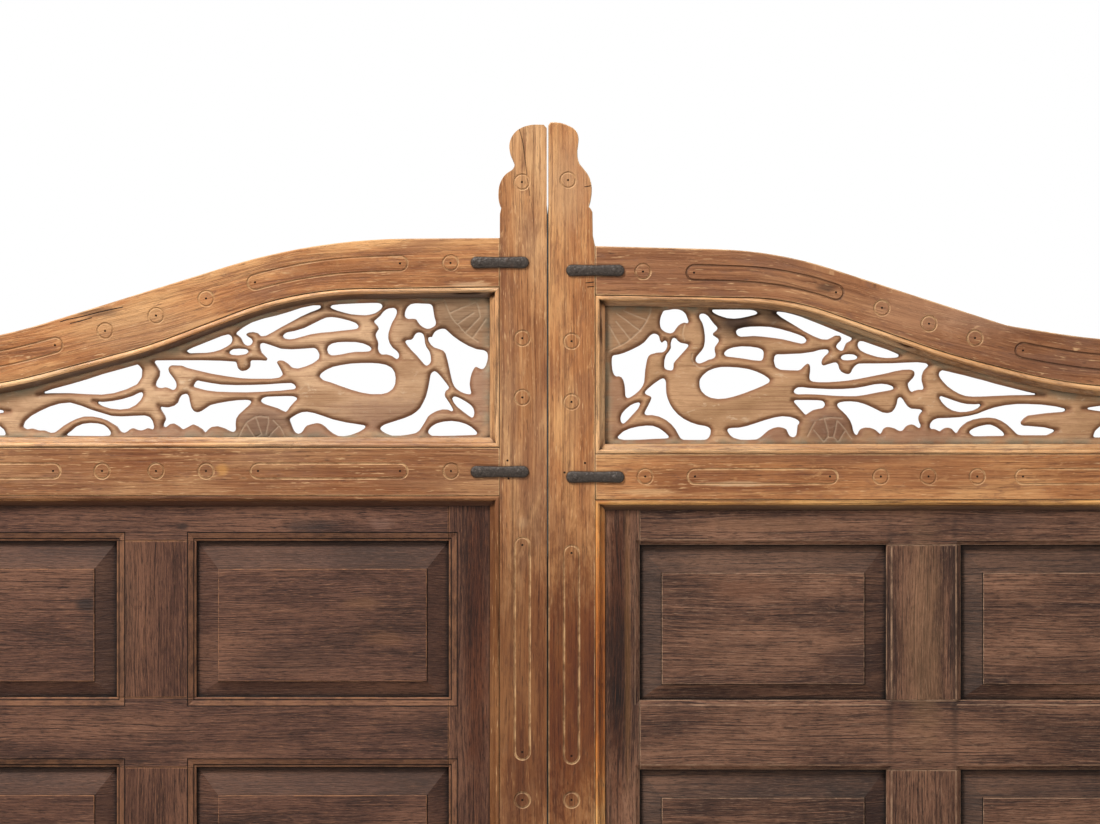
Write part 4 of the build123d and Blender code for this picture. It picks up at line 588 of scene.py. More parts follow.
@dataclass(frozen=True)
class IronFinish:
    """Forged iron, dark with rubbed high spots."""

    name: str = "forged_iron"
    dark: str = "322a24"
    worn: str = "71645a"
    rust: str = "4c3327"

    def material(self) -> Material:
        """Hammered dark metal.

        Returns:
            The material.
        """
        shader = Shader(self.name, specular=0.45, metallic=0.35)
        raw = shader.place()
        dents = shader.noise(raw, (110.0, 110.0, 110.0), 2.0)
        scale = shader.noise(raw, (420.0, 420.0, 420.0), 4.0, 0.65)
        patches = shader.noise(raw, (35.0, 35.0, 35.0), 4.0, 0.6)
        colour = shader.mix(shader.between(scale, 0.45, 0.72, 0.0, 0.55), self.dark, self.worn)
        colour = shader.mix(shader.between(patches, 0.55, 0.75, 0.0, 0.5), colour, self.rust)
        shader.bump(shader.math("ADD", dents, shader.math("MULTIPLY", scale, 0.25)), 0.75, 0.0026)
        return shader.finish(colour, shader.between(scale, 0.3, 0.7, 0.38, 0.62))


def merged_copy(node: str, joined: bool = True) -> bmesh.types.BMesh:
    """Welded mesh of a solid.

    Args:
        node: Name of the solid.
        joined: Whether its flat triangles are joined.

    Returns:
        A new mesh that the caller frees.
    """
    mesh = bmesh.new()
    mesh.from_mesh(frame["nodes"][node].data)
    bmesh.ops.remove_doubles(mesh, verts=mesh.verts[:], dist=WELD)
    if joined:
        bmesh.ops.dissolve_limit(mesh, angle_limit=math.radians(FLAT_DEGREES), use_dissolve_boundaries=False,
                                 verts=mesh.verts[:], edges=mesh.edges[:])
    return mesh


def soften(mesh: bmesh.types.BMesh, width: float, chosen: Callable[[bmesh.types.BMEdge], bool],
           share: float = 1.0) -> None:
    """Round the chosen outer edges and mark the rounding as worn.

    Args:
        mesh: Mesh to change.
        width: Width of the rounding.
        chosen: Test of an edge.
        share: Wear of the rounding.
    """
    layer = mesh.faces.layers.float.new(WEAR)
    edges = [e for e in mesh.edges if len(e.link_faces) == 2 and e.is_convex
             and e.calc_face_angle(0.0) > math.radians(ARRIS_DEGREES) and chosen(e)]
    made = bmesh.ops.bevel(mesh, geom=edges, offset=width, offset_type="OFFSET", segments=2, profile=0.5,
                           affect="EDGES", clamp_overlap=True, material=-1)
    for face in made["faces"]:
        face[layer] = share


def new_piece(name: str, mesh: bmesh.types.BMesh) -> Piece:
    """Object at the origin made of a mesh, which is freed.

    Args:
        name: The object's name.
        mesh: Its mesh.

    Returns:
        The object.
    """
    data = bpy.data.meshes.new(name)
    mesh.to_mesh(data)
    mesh.free()
    made = bpy.data.objects.new(name, data)
    bpy.context.scene.collection.objects.link(made)
    return made


def take_modifiers(piece: Piece) -> None:
    """Make a piece's live modifiers part of its mesh.

    Args:
        piece: Object to change.
    """
    graph = bpy.context.evaluated_depsgraph_get()
    graph.update()
    data = bpy.data.meshes.new_from_object(piece.evaluated_get(graph))
    old = piece.data
    piece.modifiers.clear()
    piece.data = data
    bpy.data.meshes.remove(old)


def smooth_by_angle(piece: Piece, degrees: float = SHARP_DEGREES, weighted: bool = True) -> None:
    """Shade a piece smooth, apart from its sharp edges.

    Args:
        piece: Object to change.
        degrees: Angle above which an edge is sharp.
        weighted: Whether large faces lead.
    """
    piece.data.polygons.foreach_set("use_smooth", [True] * len(piece.data.polygons))
    piece.data.set_sharp_from_angle(angle=math.radians(degrees))
    if weighted:
        made = piece.modifiers.new("even_normals", "WEIGHTED_NORMAL")
        made.keep_sharp = True


def hand_over(piece: Piece, node: str, material: Material) -> None:
    """Dress a piece and let it stand for its solid, on the solid's body.

    Args:
        piece: Finished object.
        node: Solid that it stands for.
        material: Its finish.
    """
    body = frame["nodes"][node]["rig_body"]
    piece.data.materials.clear()
    piece.data.materials.append(material)
    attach(piece, body)
    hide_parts(node)
    LOG.info("piece %s: %d faces", piece.name, len(piece.data.polygons))


def points_of(piece: Piece) -> np.ndarray:
    """Points of a piece's mesh.

    Args:
        piece: Object to read.

    Returns:
        One row for each point.
    """
    co = np.zeros(len(piece.data.vertices) * 3, np.float32)
    piece.data.vertices.foreach_get("co", co)
    return co.reshape(-1, 3).astype(float)


def put_points(piece: Piece, co: np.ndarray) -> None:
    """Put a mesh's points back."""
    piece.data.vertices.foreach_set("co", co.astype(np.float32).ravel())
    piece.data.update()


def remesh(piece: Piece, size: float) -> np.ndarray:
    """Turn a mesh into even small faces.

    Args:
        piece: Object to change.
        size: Side of the faces.

    Returns:
        The new mesh's points.
    """
    made = piece.modifiers.new("even", "REMESH")
    made.mode = "VOXEL"
    made.voxel_size = size
    take_modifiers(piece)
    return points_of(piece)


def unevenness_of(co: np.ndarray, wave: float) -> np.ndarray:
    """Hand-made unevenness at each point, from 0 to 1, in waves of a length."""
    return np.abs([noise.noise(Vector(p) / wave) for p in co])


def sway(point: Vector, wave: float, depth: float) -> Vector:
    """Slow hand-made unevenness at a point.

    Args:
        point: Place in metres.
        wave: Length of the waves.
        depth: Largest offset.

    Returns:
        The offset.
    """
    return noise.noise_vector(point / wave) * depth


def islands(mesh: bmesh.types.BMesh) -> list[list[bmesh.types.BMVert]]:
    """Points of each separate solid in a mesh, in the mesh's order.

    Args:
        mesh: Mesh to read.

    Returns:
        The points, solid by solid.
    """
    left = dict.fromkeys(mesh.verts)
    found = []
    while left:
        queue, group = [next(iter(left))], {}
        while queue:
            vert = queue.pop()
            if vert in group:
                continue
            group[vert] = None
            queue += [edge.other_vert(vert) for edge in vert.link_edges]
        for vert in group:
            del left[vert]
        found.append(list(group))
    return found


@dataclass
class Groove:
    """One incised stroke on the face of a frame member."""

    points: list[Vector]
    closed: bool
    radius: float = 0.0029
    share: float = 1.0


GROOVE_LIFT = 0.0008
RING_RADIUS = 0.0152
RING_STEPS = 40
END_STEPS = 10
DOT_RADIUS = 0.0028
DOT_DEPTH = 0.0060
DOT_TAPER = 0.6
RING_SHARE = 0.75


def ring(centre: Vector, radius: float = RING_RADIUS) -> Groove:
    """Incised circle round a point of the face.

    Args:
        centre: Its middle.
        radius: Its radius.

    Returns:
        The closed stroke.
    """
    turns = [2 * math.pi * i / RING_STEPS for i in range(RING_STEPS)]
    points = [centre + Vector((math.cos(t) * radius, -GROOVE_LIFT, math.sin(t) * radius)) for t in turns]
    return Groove(points, True, share=RING_SHARE)


def oblong(line: Sequence[Vector], half: float, share: float) -> Groove:
    """Incised round-ended strip about a middle line.

    Args:
        line: Points of the middle line.
        half: Half of the strip's width.
        share: Dust in the stroke or, below zero, painted shade.

    Returns:
        The closed stroke.
    """
    tangents = []
    for i, point in enumerate(line):
        ahead = line[min(i + 1, len(line) - 1)]
        behind = line[max(i - 1, 0)]
        tangents.append((ahead - behind).normalized())
    sides = [Vector((-t.z, 0.0, t.x)) for t in tangents]
    upper = [p + s * half for p, s in zip(line, sides)]
    lower = [p - s * half for p, s in zip(line, sides)]
    far, near = [], []
    for i in range(1, END_STEPS):
        turn = math.pi * i / END_STEPS
        far.append(line[-1] + sides[-1] * half * math.cos(turn) + tangents[-1] * half * math.sin(turn))
        near.append(line[0] - sides[0] * half * math.cos(turn) - tangents[0] * half * math.sin(turn))
    points = upper + far + lower[::-1] + near
    return Groove([p + Vector((0.0, -GROOVE_LIFT, 0.0)) for p in points], True, share=share)


def stroke_mesh(grooves: Sequence[Groove]) -> bpy.types.Mesh:
    """Round bars along strokes, as one mesh that the caller removes.

    Args:
        grooves: The strokes.

    Returns:
        The mesh.
    """
    curve = bpy.data.curves.new("strokes", "CURVE")
    curve.dimensions = "3D"
    curve.bevel_depth = 1.0
    curve.bevel_resolution = 1
    curve.use_fill_caps = True
    for groove in grooves:
        spline = curve.splines.new("POLY")
        spline.points.add(len(groove.points) - 1)
        for point, place in zip(spline.points, groove.points):
            point.co = (*place, 1.0)
            point.radius = groove.radius
        spline.use_cyclic_u = groove.closed
    strokes = bpy.data.objects.new("strokes", curve)
    bpy.context.scene.collection.objects.link(strokes)
    graph = bpy.context.evaluated_depsgraph_get()
    graph.update()
    data = bpy.data.meshes.new_from_object(strokes.evaluated_get(graph))
    bpy.data.objects.remove(strokes)
    bpy.data.curves.remove(curve)
    return data


def cutter_of(grooves: Sequence[Groove], dots: Sequence[Vector]) -> Piece:
    """Mesh that takes the strokes and drilled dots out of a face.

    Args:
        grooves: Strokes, each with the share that its faces are marked with.
        dots: Middles of the dots, whose faces are marked as dark.

    Returns:
        The cutting object, to be removed after use.
    """
    mesh = bmesh.new()
    layer = mesh.faces.layers.float.new(GROOVE)
    for share in sorted({groove.share for groove in grooves}):
        data = stroke_mesh([groove for groove in grooves if groove.share == share])
        before = len(mesh.faces)
        mesh.from_mesh(data)
        mesh.faces.ensure_lookup_table()
        for face in mesh.faces[before:]:
            face[layer] = share
        bpy.data.meshes.remove(data)
    bmesh.ops.remove_doubles(mesh, verts=mesh.verts[:], dist=STROKE_WELD)
    for dot in dots:
        turn = Matrix.Translation(dot) @ FACING
        made = bmesh.ops.create_cone(mesh, cap_ends=True, segments=10, radius1=DOT_RADIUS * DOT_TAPER,
                                     radius2=DOT_RADIUS, depth=DOT_DEPTH, matrix=turn)
        for face in {face for vert in made["verts"] for face in vert.link_faces}:
            face[layer] = -1.0
    bmesh.ops.recalc_face_normals(mesh, faces=mesh.faces[:])
    return new_piece("cutter", mesh)


def incise(piece: Piece, grooves: Sequence[Groove], dots: Sequence[Vector]) -> None:
    """Cut strokes and dots into a piece.

    Args:
        piece: Object to change.
        grooves: The strokes.
        dots: Middles of the dots.
    """
    cutter = cutter_of(grooves, dots)
    for target in (piece, cutter):
        for name in MARKS:
            if name not in target.data.attributes:
                target.data.attributes.new(name, "FLOAT", "FACE")
    cut = piece.modifiers.new("incised", "BOOLEAN")
    cut.operation = "DIFFERENCE"
    cut.solver = "EXACT"
    cut.object = cutter
    take_modifiers(piece)
    bpy.data.objects.remove(cutter)


# Sides of the small square nail holes, and the shortest edge that counts as an arris
HOLE_SIDES = (0.0048, 0.0060)
SHORT_ARRIS = 0.012


def axis_mark(edge: bmesh.types.BMEdge) -> bool:
    """Whether an edge is a side of a small square nail hole."""
    run = edge.verts[0].co - edge.verts[1].co
    return HOLE_SIDES[0] < run.length < HOLE_SIDES[1] and min(abs(run.x), abs(run.z)) < WELD


def on_leaf_face(edge: bmesh.types.BMEdge) -> bool:
    """Whether an edge is an arris of a leaf's front or back.

    Args:
        edge: Edge of a member.

    Returns:
        True for an arris, False for a nail hole's side or another edge.
    """
    depths = [v.co.y for v in edge.verts]
    flat = any(all(abs(d - plane) < PLANE_SLACK for d in depths) for plane in (FRONT, BACK))
    return flat and not axis_mark(edge)


def long_edge(edge: bmesh.types.BMEdge) -> bool:
    """Whether an edge is long enough to be an arris and not a small hole."""
    return edge.calc_length() > SHORT_ARRIS


# Depths between which the meeting edges swell, the heights between which that ends, by how much, and how
# far a face of theirs looks to the other leaf
LIP_DEPTHS = (0.015, 0.017)
LIP_HEADS = (2.13, 2.15)
LIP = 0.00145
LIP_FACING = 0.9


@dataclass
class FrameMember:
    """Stile or rail of a leaf, with worn arrises and incised ornament."""

    node: str
    finish: TimberFinish
    rings: list[Vector] = field(default_factory=list)
    oblongs: list[list[Vector]] = field(default_factory=list)
    cracks: list[Groove] = field(default_factory=list)
    drills: list[Vector] = field(default_factory=list)
    lip: float = 0.0
    arris: float = 0.0024
    half: float = 0.0150
    strip_share: float = 1.0

    def swell_lip(self, mesh: bmesh.types.BMesh) -> None:
        """Let the rear of the meeting edge swell towards the other leaf, below the finial.

        Args:
            mesh: Mesh to change.
        """
        cuts = [Vector((0.0, depth, 0.0)) for depth in LIP_DEPTHS]
        cuts += [Vector((0.0, 0.0, height)) for height in LIP_HEADS]
        for cut in cuts:
            bmesh.ops.bisect_plane(mesh, geom=mesh.verts[:] + mesh.edges[:] + mesh.faces[:], plane_co=cut,
                                   plane_no=cut.normalized())
        low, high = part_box(self.node)
        face_x = high.x if self.lip > 0 else low.x
        for vert in mesh.verts:
            below = vert.co.z < LIP_HEADS[0] + WELD
            if below and abs(vert.co.x - face_x) < PLANE_SLACK and vert.co.y > LIP_DEPTHS[1] - WELD:
                vert.co.x += self.lip

    def shade_lip(self, mesh: bmesh.types.BMesh) -> None:
        """Mark the meeting edge below the finial for painted shade in the gap between the leaves.

        Args:
            mesh: Mesh to change.
        """
        layer = mesh.faces.layers.float.new(GROOVE)
        way = math.copysign(1.0, self.lip)
        for face in mesh.faces:
            if face.normal.x * way > LIP_FACING and face.calc_center_median().z < LIP_HEADS[1]:
                face[layer] = -1.0

    def build(self) -> Piece:
        """Make the member from its solid and cut its ornament.

        Returns:
            The dressed piece.
        """
        mesh = merged_copy(self.node)
        if self.lip:
            self.swell_lip(mesh)
        soften(mesh, self.arris, on_leaf_face)
        # Painted shade on the meeting edge
        if self.lip:
            mesh.normal_update()
            self.shade_lip(mesh)
        piece = new_piece(f"{self.node}_worn", mesh)
        grooves = [ring(c) for c in self.rings]
        grooves += [oblong(line, self.half, self.strip_share) for line in self.oblongs]
        dots = self.rings + [end for line in self.oblongs for end in (line[0], line[-1])] + self.drills
        if grooves or dots:
            incise(piece, grooves, dots)
        if self.cracks:
            incise(piece, self.cracks, [])
        smooth_by_angle(piece)
        hand_over(piece, self.node, self.finish.material())
        return piece


# Tenon at a rail's end, steps of a rail's middle line and of a strip along it, and how far the grain
# follows the curve
RAIL_END = 0.065
RAIL_STEPS = 260
RUN_STEP_PX = 6
GRAIN_FOLLOW = 0.85


@dataclass
class RailLine:
    """Middle line of a serpentine rail, read from its solid's front."""

    node: str
    places: np.ndarray = field(init=False)
    middles: np.ndarray = field(init=False)

    def __post_init__(self) -> None:
        """Read the rail's upper and lower edges at even steps."""
        mesh = merged_copy(self.node)
        runs = []
        for edge in mesh.edges:
            first, last = (v.co for v in edge.verts)
            if max(abs(first.y - FRONT), abs(last.y - FRONT)) < PLANE_SLACK:
                runs.append((first, last) if first.x <= last.x else (last, first))
        mesh.free()
        low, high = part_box(self.node)
        self.places = np.linspace(low.x + RAIL_END, high.x - RAIL_END, RAIL_STEPS)
        middles = []
        for x in self.places:
            heights = []
            for first, last in runs:
                if first.x <= x <= last.x and last.x - first.x > 1e-9:
                    heights.append(first.z + (last.z - first.z) * (x - first.x) / (last.x - first.x))
            middles.append((min(heights) + max(heights)) / 2)
        self.middles = np.array(middles)

    def height(self, x: float) -> float:
        """Height of the middle line."""
        return float(np.interp(x, self.places, self.middles))

    def point(self, px: float) -> Vector:
        """Point of the middle line over a photo column."""
        x = at_pixel(px, 0.0).x
        return Vector((x, FRONT, self.height(x)))

    def run(self, first_px: float, last_px: float) -> list[Vector]:
        """Points of the middle line between two photo columns."""
        count = max(2, round(abs(last_px - first_px) / RUN_STEP_PX))
        return [self.point(px) for px in np.linspace(first_px, last_px, count)]

    def mark_grain(self, piece: Piece) -> None:
        """Store on a rail's mesh a grain that follows its curve.

        Args:
            piece: Object to change.
        """
        co = points_of(piece)
        follow = np.interp(co[:, 0], self.places, self.middles) * GRAIN_FOLLOW
        grain = np.stack([co[:, 0], co[:, 2] - follow, co[:, 1]], 1).astype(np.float32)
        made = piece.data.attributes.new("grain", "FLOAT_VECTOR", "POINT")
        made.data.foreach_set("vector", grain.ravel())


# Least angle of a carving's outline, the step of its samples, how round its rims are, the depths
# behind which its face fades out and its strokes end, the reach of the old paint and of the rims' tint,
# and the soft edge and flatness of its stains
OUTLINE_ANGLE = 0.5
OUTLINE_STEP = 0.0008
RIM_ROUND = 0.98
FACING_DEPTH = CARVING_FRONT + 0.010
FACING_FADE = 0.004
STROKE_END = CARVING_FRONT + 0.006
PAINT_REACH = 0.016
PAINT_WIDTHS = 2.3
RIM_TINT = 1.25
STAIN_EDGE = 1.25
STAIN_HEIGHT = 0.5


@dataclass
class CarvedPanel:
    """Pierced panel with rounded rims, incised fans and domes, and stains."""

    node: str
    finish: CarvingFinish
    strokes_px: list[list[tuple[float, float]]]
    stains_px: list[tuple[float, float, float, float]] = field(default_factory=list)
    voxel: float = 0.0017
    rim_width: float = 0.0095
    rim_depth: float = 0.0075
    back_width: float = 0.0045
    back_depth: float = 0.0035
    pillow_reach: float = 0.026
    pillow_depth: float = 0.0024
    stroke_width: float = 0.0022
    stroke_depth: float = 0.0017
    wave: float = 0.012
    unevenness: float = 0.00035
    triangles: int = 180000

    def outlines(self) -> tuple[np.ndarray, np.ndarray]:
        """Points along the piercings and along the panel's outer edge, on the front view.

        Returns:
            The piercings' points and the edge's points.
        """
        mesh = merged_copy(self.node)
        links: dict[int, list[bmesh.types.BMEdge]] = {}
        for edge in mesh.edges:
            in_front = all(abs(v.co.y - CARVING_FRONT) < PLANE_SLACK for v in edge.verts)
            if in_front and edge.calc_face_angle(0.0) > OUTLINE_ANGLE:
                for vert in edge.verts:
                    links.setdefault(vert.index, []).append(edge)
        seen: set[int] = set()
        loops: list[list[bmesh.types.BMEdge]] = []
        for start in sorted(links):
            if start in seen:
                continue
            queue, found = [start], set()
            while queue:
                index = queue.pop()
                if index in seen:
                    continue
                seen.add(index)
                for edge in links[index]:
                    found.add(edge)
                    queue += [v.index for v in edge.verts]
            loops.append(sorted(found, key=lambda e: e.index))
        samples = []
        for loop in loops:
            points = []
            for edge in loop:
                first, last = (np.array(v.co) for v in edge.verts)
                count = max(2, int(edge.calc_length() / OUTLINE_STEP))
                points.append(first + (last - first) * np.linspace(0, 1, count)[:, None])
            samples.append(np.concatenate(points)[:, [0, 2]])
        mesh.free()
        samples.sort(key=lambda p: np.ptp(p[:, 0]))
        return np.concatenate(samples[:-1]), samples[-1]

    @staticmethod
    def rounded(gap: np.ndarray, width: float) -> np.ndarray:
        """Share of a rounding's depth at distances from a rim."""
        share = np.clip(1 - gap / width, 0, 1)
        return 1 - np.sqrt(1 - share ** 2 * RIM_ROUND)

    @staticmethod
    def distances(points: np.ndarray, places: np.ndarray) -> np.ndarray:
        """Distance on the front view from each place to the nearest point.

        Args:
            points: Points to be near to.
            places: Places to measure from.

        Returns:
            A distance for each place.
        """
        tree = kdtree.KDTree(len(points))
        for i, (x, z) in enumerate(points):
            tree.insert((x, 0.0, z), i)
        tree.balance()
        return np.array([tree.find((x, 0.0, z))[2] for x, z in places])

    def stroke_depths(self, places: np.ndarray) -> np.ndarray:
        """Depth of the incised strokes at each place on the front view.

        Args:
            places: Places to look at.

        Returns:
            A depth for each place.
        """
        depth = np.zeros(len(places))
        for stroke in self.strokes_px:
            line = [np.array(at_pixel(px, py))[[0, 2]] for px, py in stroke]
            for first, last in zip(line, line[1:]):
                low = np.minimum(first, last) - self.stroke_width
                high = np.maximum(first, last) + self.stroke_width
                near = np.where(np.all((places >= low) & (places <= high), axis=1))[0]
                if not len(near):
                    continue
                run = last - first
                share = np.clip((places[near] - first) @ run / (run @ run), 0, 1)
                gap = np.linalg.norm(places[near] - first - share[:, None] * run, axis=1)
                cut = self.stroke_depth * np.clip(1 - gap / self.stroke_width, 0, 1)
                depth[near] = np.maximum(depth[near], cut)
        return depth

    def build(self) -> None:
        """Round the rims, cut the strokes and mark what the finish reads."""
        holes, edge = self.outlines()
        piece = new_piece(f"{self.node}_carved", merged_copy(self.node))
        co = remesh(piece, self.voxel)
        gap = self.distances(holes, co[:, [0, 2]])
        front = CARVING_FRONT + self.rim_depth * self.rounded(gap, self.rim_width)
        back = CARVING_BACK - self.back_depth * self.rounded(gap, self.back_width)
        co[:, 1] = np.clip(co[:, 1], front, back)
        put_points(piece, co)
        remesh(piece, self.voxel)
        even = piece.modifiers.new("even", "SMOOTH")
        even.factor = 0.5
        even.iterations = 2
        take_modifiers(piece)
        co = points_of(piece)
        gap = self.distances(holes, co[:, [0, 2]])
        facing = np.clip((FACING_DEPTH - co[:, 1]) / FACING_FADE, 0, 1)
        pillow = self.pillow_depth * np.clip(1 - gap / self.pillow_reach, 0, 1) ** 2
        uneven = unevenness_of(co, self.wave) * self.unevenness
        co[:, 1] += facing * (pillow + self.stroke_depths(co[:, [0, 2]]) + uneven)
        put_points(piece, co)
        thin = piece.modifiers.new("thin", "DECIMATE")
        thin.ratio = min(1.0, self.triangles / (2 * len(piece.data.polygons)))
        take_modifiers(piece)
        self.mark(piece, holes, edge)
        smooth_by_angle(piece, ROUND_DEGREES, False)
        hand_over(piece, self.node, self.finish.material())

    def mark(self, piece: Piece, holes: np.ndarray, edge: np.ndarray) -> None:
        """Store rim, border and stain shares on the mesh.

        Args:
            piece: Carved panel.
            holes: Points along the piercings.
            edge: Points along the outer edge.
        """
        co = points_of(piece)
        flat = co[:, [0, 2]]
        rim = np.clip(1 - self.distances(holes, flat) / (self.rim_width * RIM_TINT), 0, 1)
        border = np.clip(PAINT_WIDTHS - self.distances(edge, flat) / PAINT_REACH, 0, 1)
        stain = np.zeros(len(co))
        for px, py, width, depth in self.stains_px:
            middle = np.array(at_pixel(px, py))[[0, 2]]
            reach = np.linalg.norm((flat - middle) / np.array([width, width * STAIN_HEIGHT]) / PIXEL, axis=1)
            stain = np.maximum(stain, depth * np.clip(STAIN_EDGE - reach, 0, 1))
        stroke = self.stroke_depths(flat) / self.stroke_depth * (co[:, 1] < STROKE_END)
        for name, values in (("rim", rim), ("border", border), ("stain", stain), ("stroke", stroke)):
            made = piece.data.attributes.new(name, "FLOAT", "POINT")
            made.data.foreach_set("value", values.astype(np.float32))


# Depths between which a bead's lower step lies and how far it comes forward, a bead's width, how often it is
# divided, the waves along it, the fit of its grain to a curve and the painted shade in the hollows of the
# beads other than the head
STEP_DEPTHS = (-0.0175, -0.0135)
STEP_RAISE = 0.0015
BEAD_REACH = 0.022
BEAD_CUTS = 7
BEAD_WAVE = 0.11
BEAD_CURVE_DEGREE = 6
OPEN_BEAD_SHADE = 0.25


class Bead(Enum):
    """Bead of an opening that a face belongs to."""

    FOOT = 0
    UPRIGHT = 1
    HEAD = 2


@dataclass
class BeadFrame:
    """Bead mouldings round an opening, a little uneven along their length."""

    node: str
    finish: TimberFinish
    # Share of painted shade in the head bead's hollows, under the rail
    bead_shade: float = 1.0
    step: float = 0.03
    unevenness: float = 0.0006

    def build(self) -> None:
        """Divide the beads along their length and let them sway."""
        mesh = merged_copy(self.node, joined=False)
        self.tell_apart(mesh)
        for _ in range(BEAD_CUTS):
            edges = [e for e in mesh.edges if e.calc_length() > self.step]
            if not edges:
                break
            bmesh.ops.subdivide_edges(mesh, edges=edges, cuts=1, use_grid_fill=True)
        for vert in mesh.verts:
            if STEP_DEPTHS[0] < vert.co.y < STEP_DEPTHS[1]:
                vert.co.y -= STEP_RAISE
            vert.co += sway(vert.co, BEAD_WAVE, self.unevenness)
        self.mark_grain(mesh)
        piece = new_piece(f"{self.node}_worn", mesh)
        smooth_by_angle(piece, MOULDED_DEGREES, False)
        hand_over(piece, self.node, self.finish.material())

    def tell_apart(self, mesh: bmesh.types.BMesh) -> None:
        """Note on each face which bead it belongs to.

        Args:
            mesh: Mesh to change.
        """
        layer = mesh.faces.layers.int.new("bead")
        low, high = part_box(self.node)
        for face in mesh.faces:
            longest = max(face.edges, key=lambda e: e.calc_length())
            run = longest.verts[0].co - longest.verts[1].co
            middle = face.calc_center_median()
            at_end = min(middle.x - low.x, high.x - middle.x) < BEAD_REACH
            if at_end and abs(run.z) > abs(run.x):
                face[layer] = Bead.UPRIGHT.value
            else:
                face[layer] = (Bead.FOOT if middle.z < low.z + BEAD_REACH else Bead.HEAD).value

    def mark_grain(self, mesh: bmesh.types.BMesh) -> None:
        """Store on each bead a grain that follows its length, and its share of painted shade.

        Args:
            mesh: Mesh to change.
        """
        beads = mesh.faces.layers.int["bead"]
        grain = mesh.loops.layers.float_vector.new("grain")
        bead_shade = mesh.faces.layers.float.new(BEAD_SHADE)
        heads = np.array([v.co for f in mesh.faces if f[beads] == Bead.HEAD.value for v in f.verts])
        curve = np.poly1d(np.polyfit(heads[:, 0], heads[:, 2], BEAD_CURVE_DEGREE))
        for face in mesh.faces:
            bead = Bead(face[beads])
            # The head bead, under the rail, gets its own share of painted shade, and the other beads a small
            # one
            face[bead_shade] = self.bead_shade if bead is Bead.HEAD else OPEN_BEAD_SHADE
            for loop in face.loops:
                x, y, z = loop.vert.co
                if bead is Bead.UPRIGHT:
                    loop[grain] = Vector((z, x, y))
                else:
                    loop[grain] = Vector((x, z - (curve(x) if bead is Bead.HEAD else 0.0), y))
        mesh.faces.layers.int.remove(beads)


# Depth of the dark insert's face and the depths of its panels with what they become
INSERT_FRONT = -0.012
FIELD_FRONT = -0.0108
BEVEL_HEAD = -0.0080
PANEL_DEPTHS = {0.0013: 0.0070, -0.0055: BEVEL_HEAD, -0.0080: FIELD_FRONT}
PANEL_SHARP = 9.0

# Quirks of the left leaf's mouldings, each as its reach past a panel's board and its depth
QUIRKS = ((0.0090, INSERT_FRONT), (-0.0030, INSERT_FRONT + 0.0056))
QUIRK_RADIUS = 0.0017
MOULDING_WEAR = 0.5

# How far the faces of mouldings and bevels look to the front
MOULDING_SLOPES = (-0.97, -0.5)
BEVEL_SLOPES = (-0.99, -0.8)

# Radius of the painted shadow line at a panel's field and the wear of the field's edges
FIELD_LINE = 0.0013
FIELD_WEAR = 1.0


@dataclass(frozen=True)
class BevelShading:
    """Painted light and shade on the bevels of a leaf's panels: a grey tint above zero, painted shade below
    zero.
    """

    left: float
    right: float = -0.42
    head: float = 0.4
    foot: float = -0.28
    # Whether the painted shadow line at the field's foot also runs up its left side
    left_line: bool = False


# Painted light and shade of each leaf's bevels
LEFT_BEVELS = BevelShading(left=-0.3)
RIGHT_BEVELS = BevelShading(left=0.55, foot=0.0, left_line=True)


def rectangle(low: Vector, high: Vector, grow: float, depth: float, radius: float) -> Groove:
    """Dark stroke round a box on the front view.

    Args:
        low: Lower corner of the box.
        high: Upper corner.
        grow: How far the stroke lies outside the box.
        depth: Y of the stroke.
        radius: Half of its width.

    Returns:
        The closed stroke.
    """
    left, right, foot, head = low.x - grow, high.x + grow, low.z - grow, high.z + grow
    corners = ((left, foot), (right, foot), (right, head), (left, head))
    return Groove([Vector((x, depth, z)) for x, z in corners], True, radius, -1.0)


@dataclass
class WornCopy:
    """Any other solid, with its edges softened."""

    node: str
    material: Material
    slot: str
    width: float = 0.0012
    wear: float = 1.0
    chosen: Callable[[bmesh.types.BMEdge], bool] = long_edge
    strokes: list[Groove] = field(default_factory=list)
    sharp: float = SHARP_DEGREES

    def shape(self, mesh: bmesh.types.BMesh) -> None:
        """Change the solid's mesh before its edges are softened; a plain copy stays as it is."""

    def mark(self, mesh: bmesh.types.BMesh) -> None:
        """Mark faces for the finish after the edges are softened; a plain copy has none to mark."""

    def build(self) -> None:
        """Soften the solid's outer edges and dress it."""
        mesh = merged_copy(self.node)
        self.shape(mesh)
        soften(mesh, self.width, self.chosen, self.wear)
        mesh.normal_update()
        self.mark(mesh)
        piece = new_piece(f"{self.node}_worn", mesh)
        if self.strokes:
            incise(piece, self.strokes, [])
        smooth_by_angle(piece, self.sharp)
        hand_over(piece, self.node, self.material)


@dataclass
class MouldedMember(WornCopy):
    """Member of an insert whose edge mouldings are rubbed pale."""

    def mark(self, mesh: bmesh.types.BMesh) -> None:
        """Mark the sloping edge mouldings as half worn.

        Args:
            mesh: Mesh to change.
        """
        layer = mesh.faces.layers.float[WEAR]
        for face in mesh.faces:
            if MOULDING_SLOPES[0] < face.normal.y < MOULDING_SLOPES[1] and face[layer] == 0.0:
                face[layer] = MOULDING_WEAR


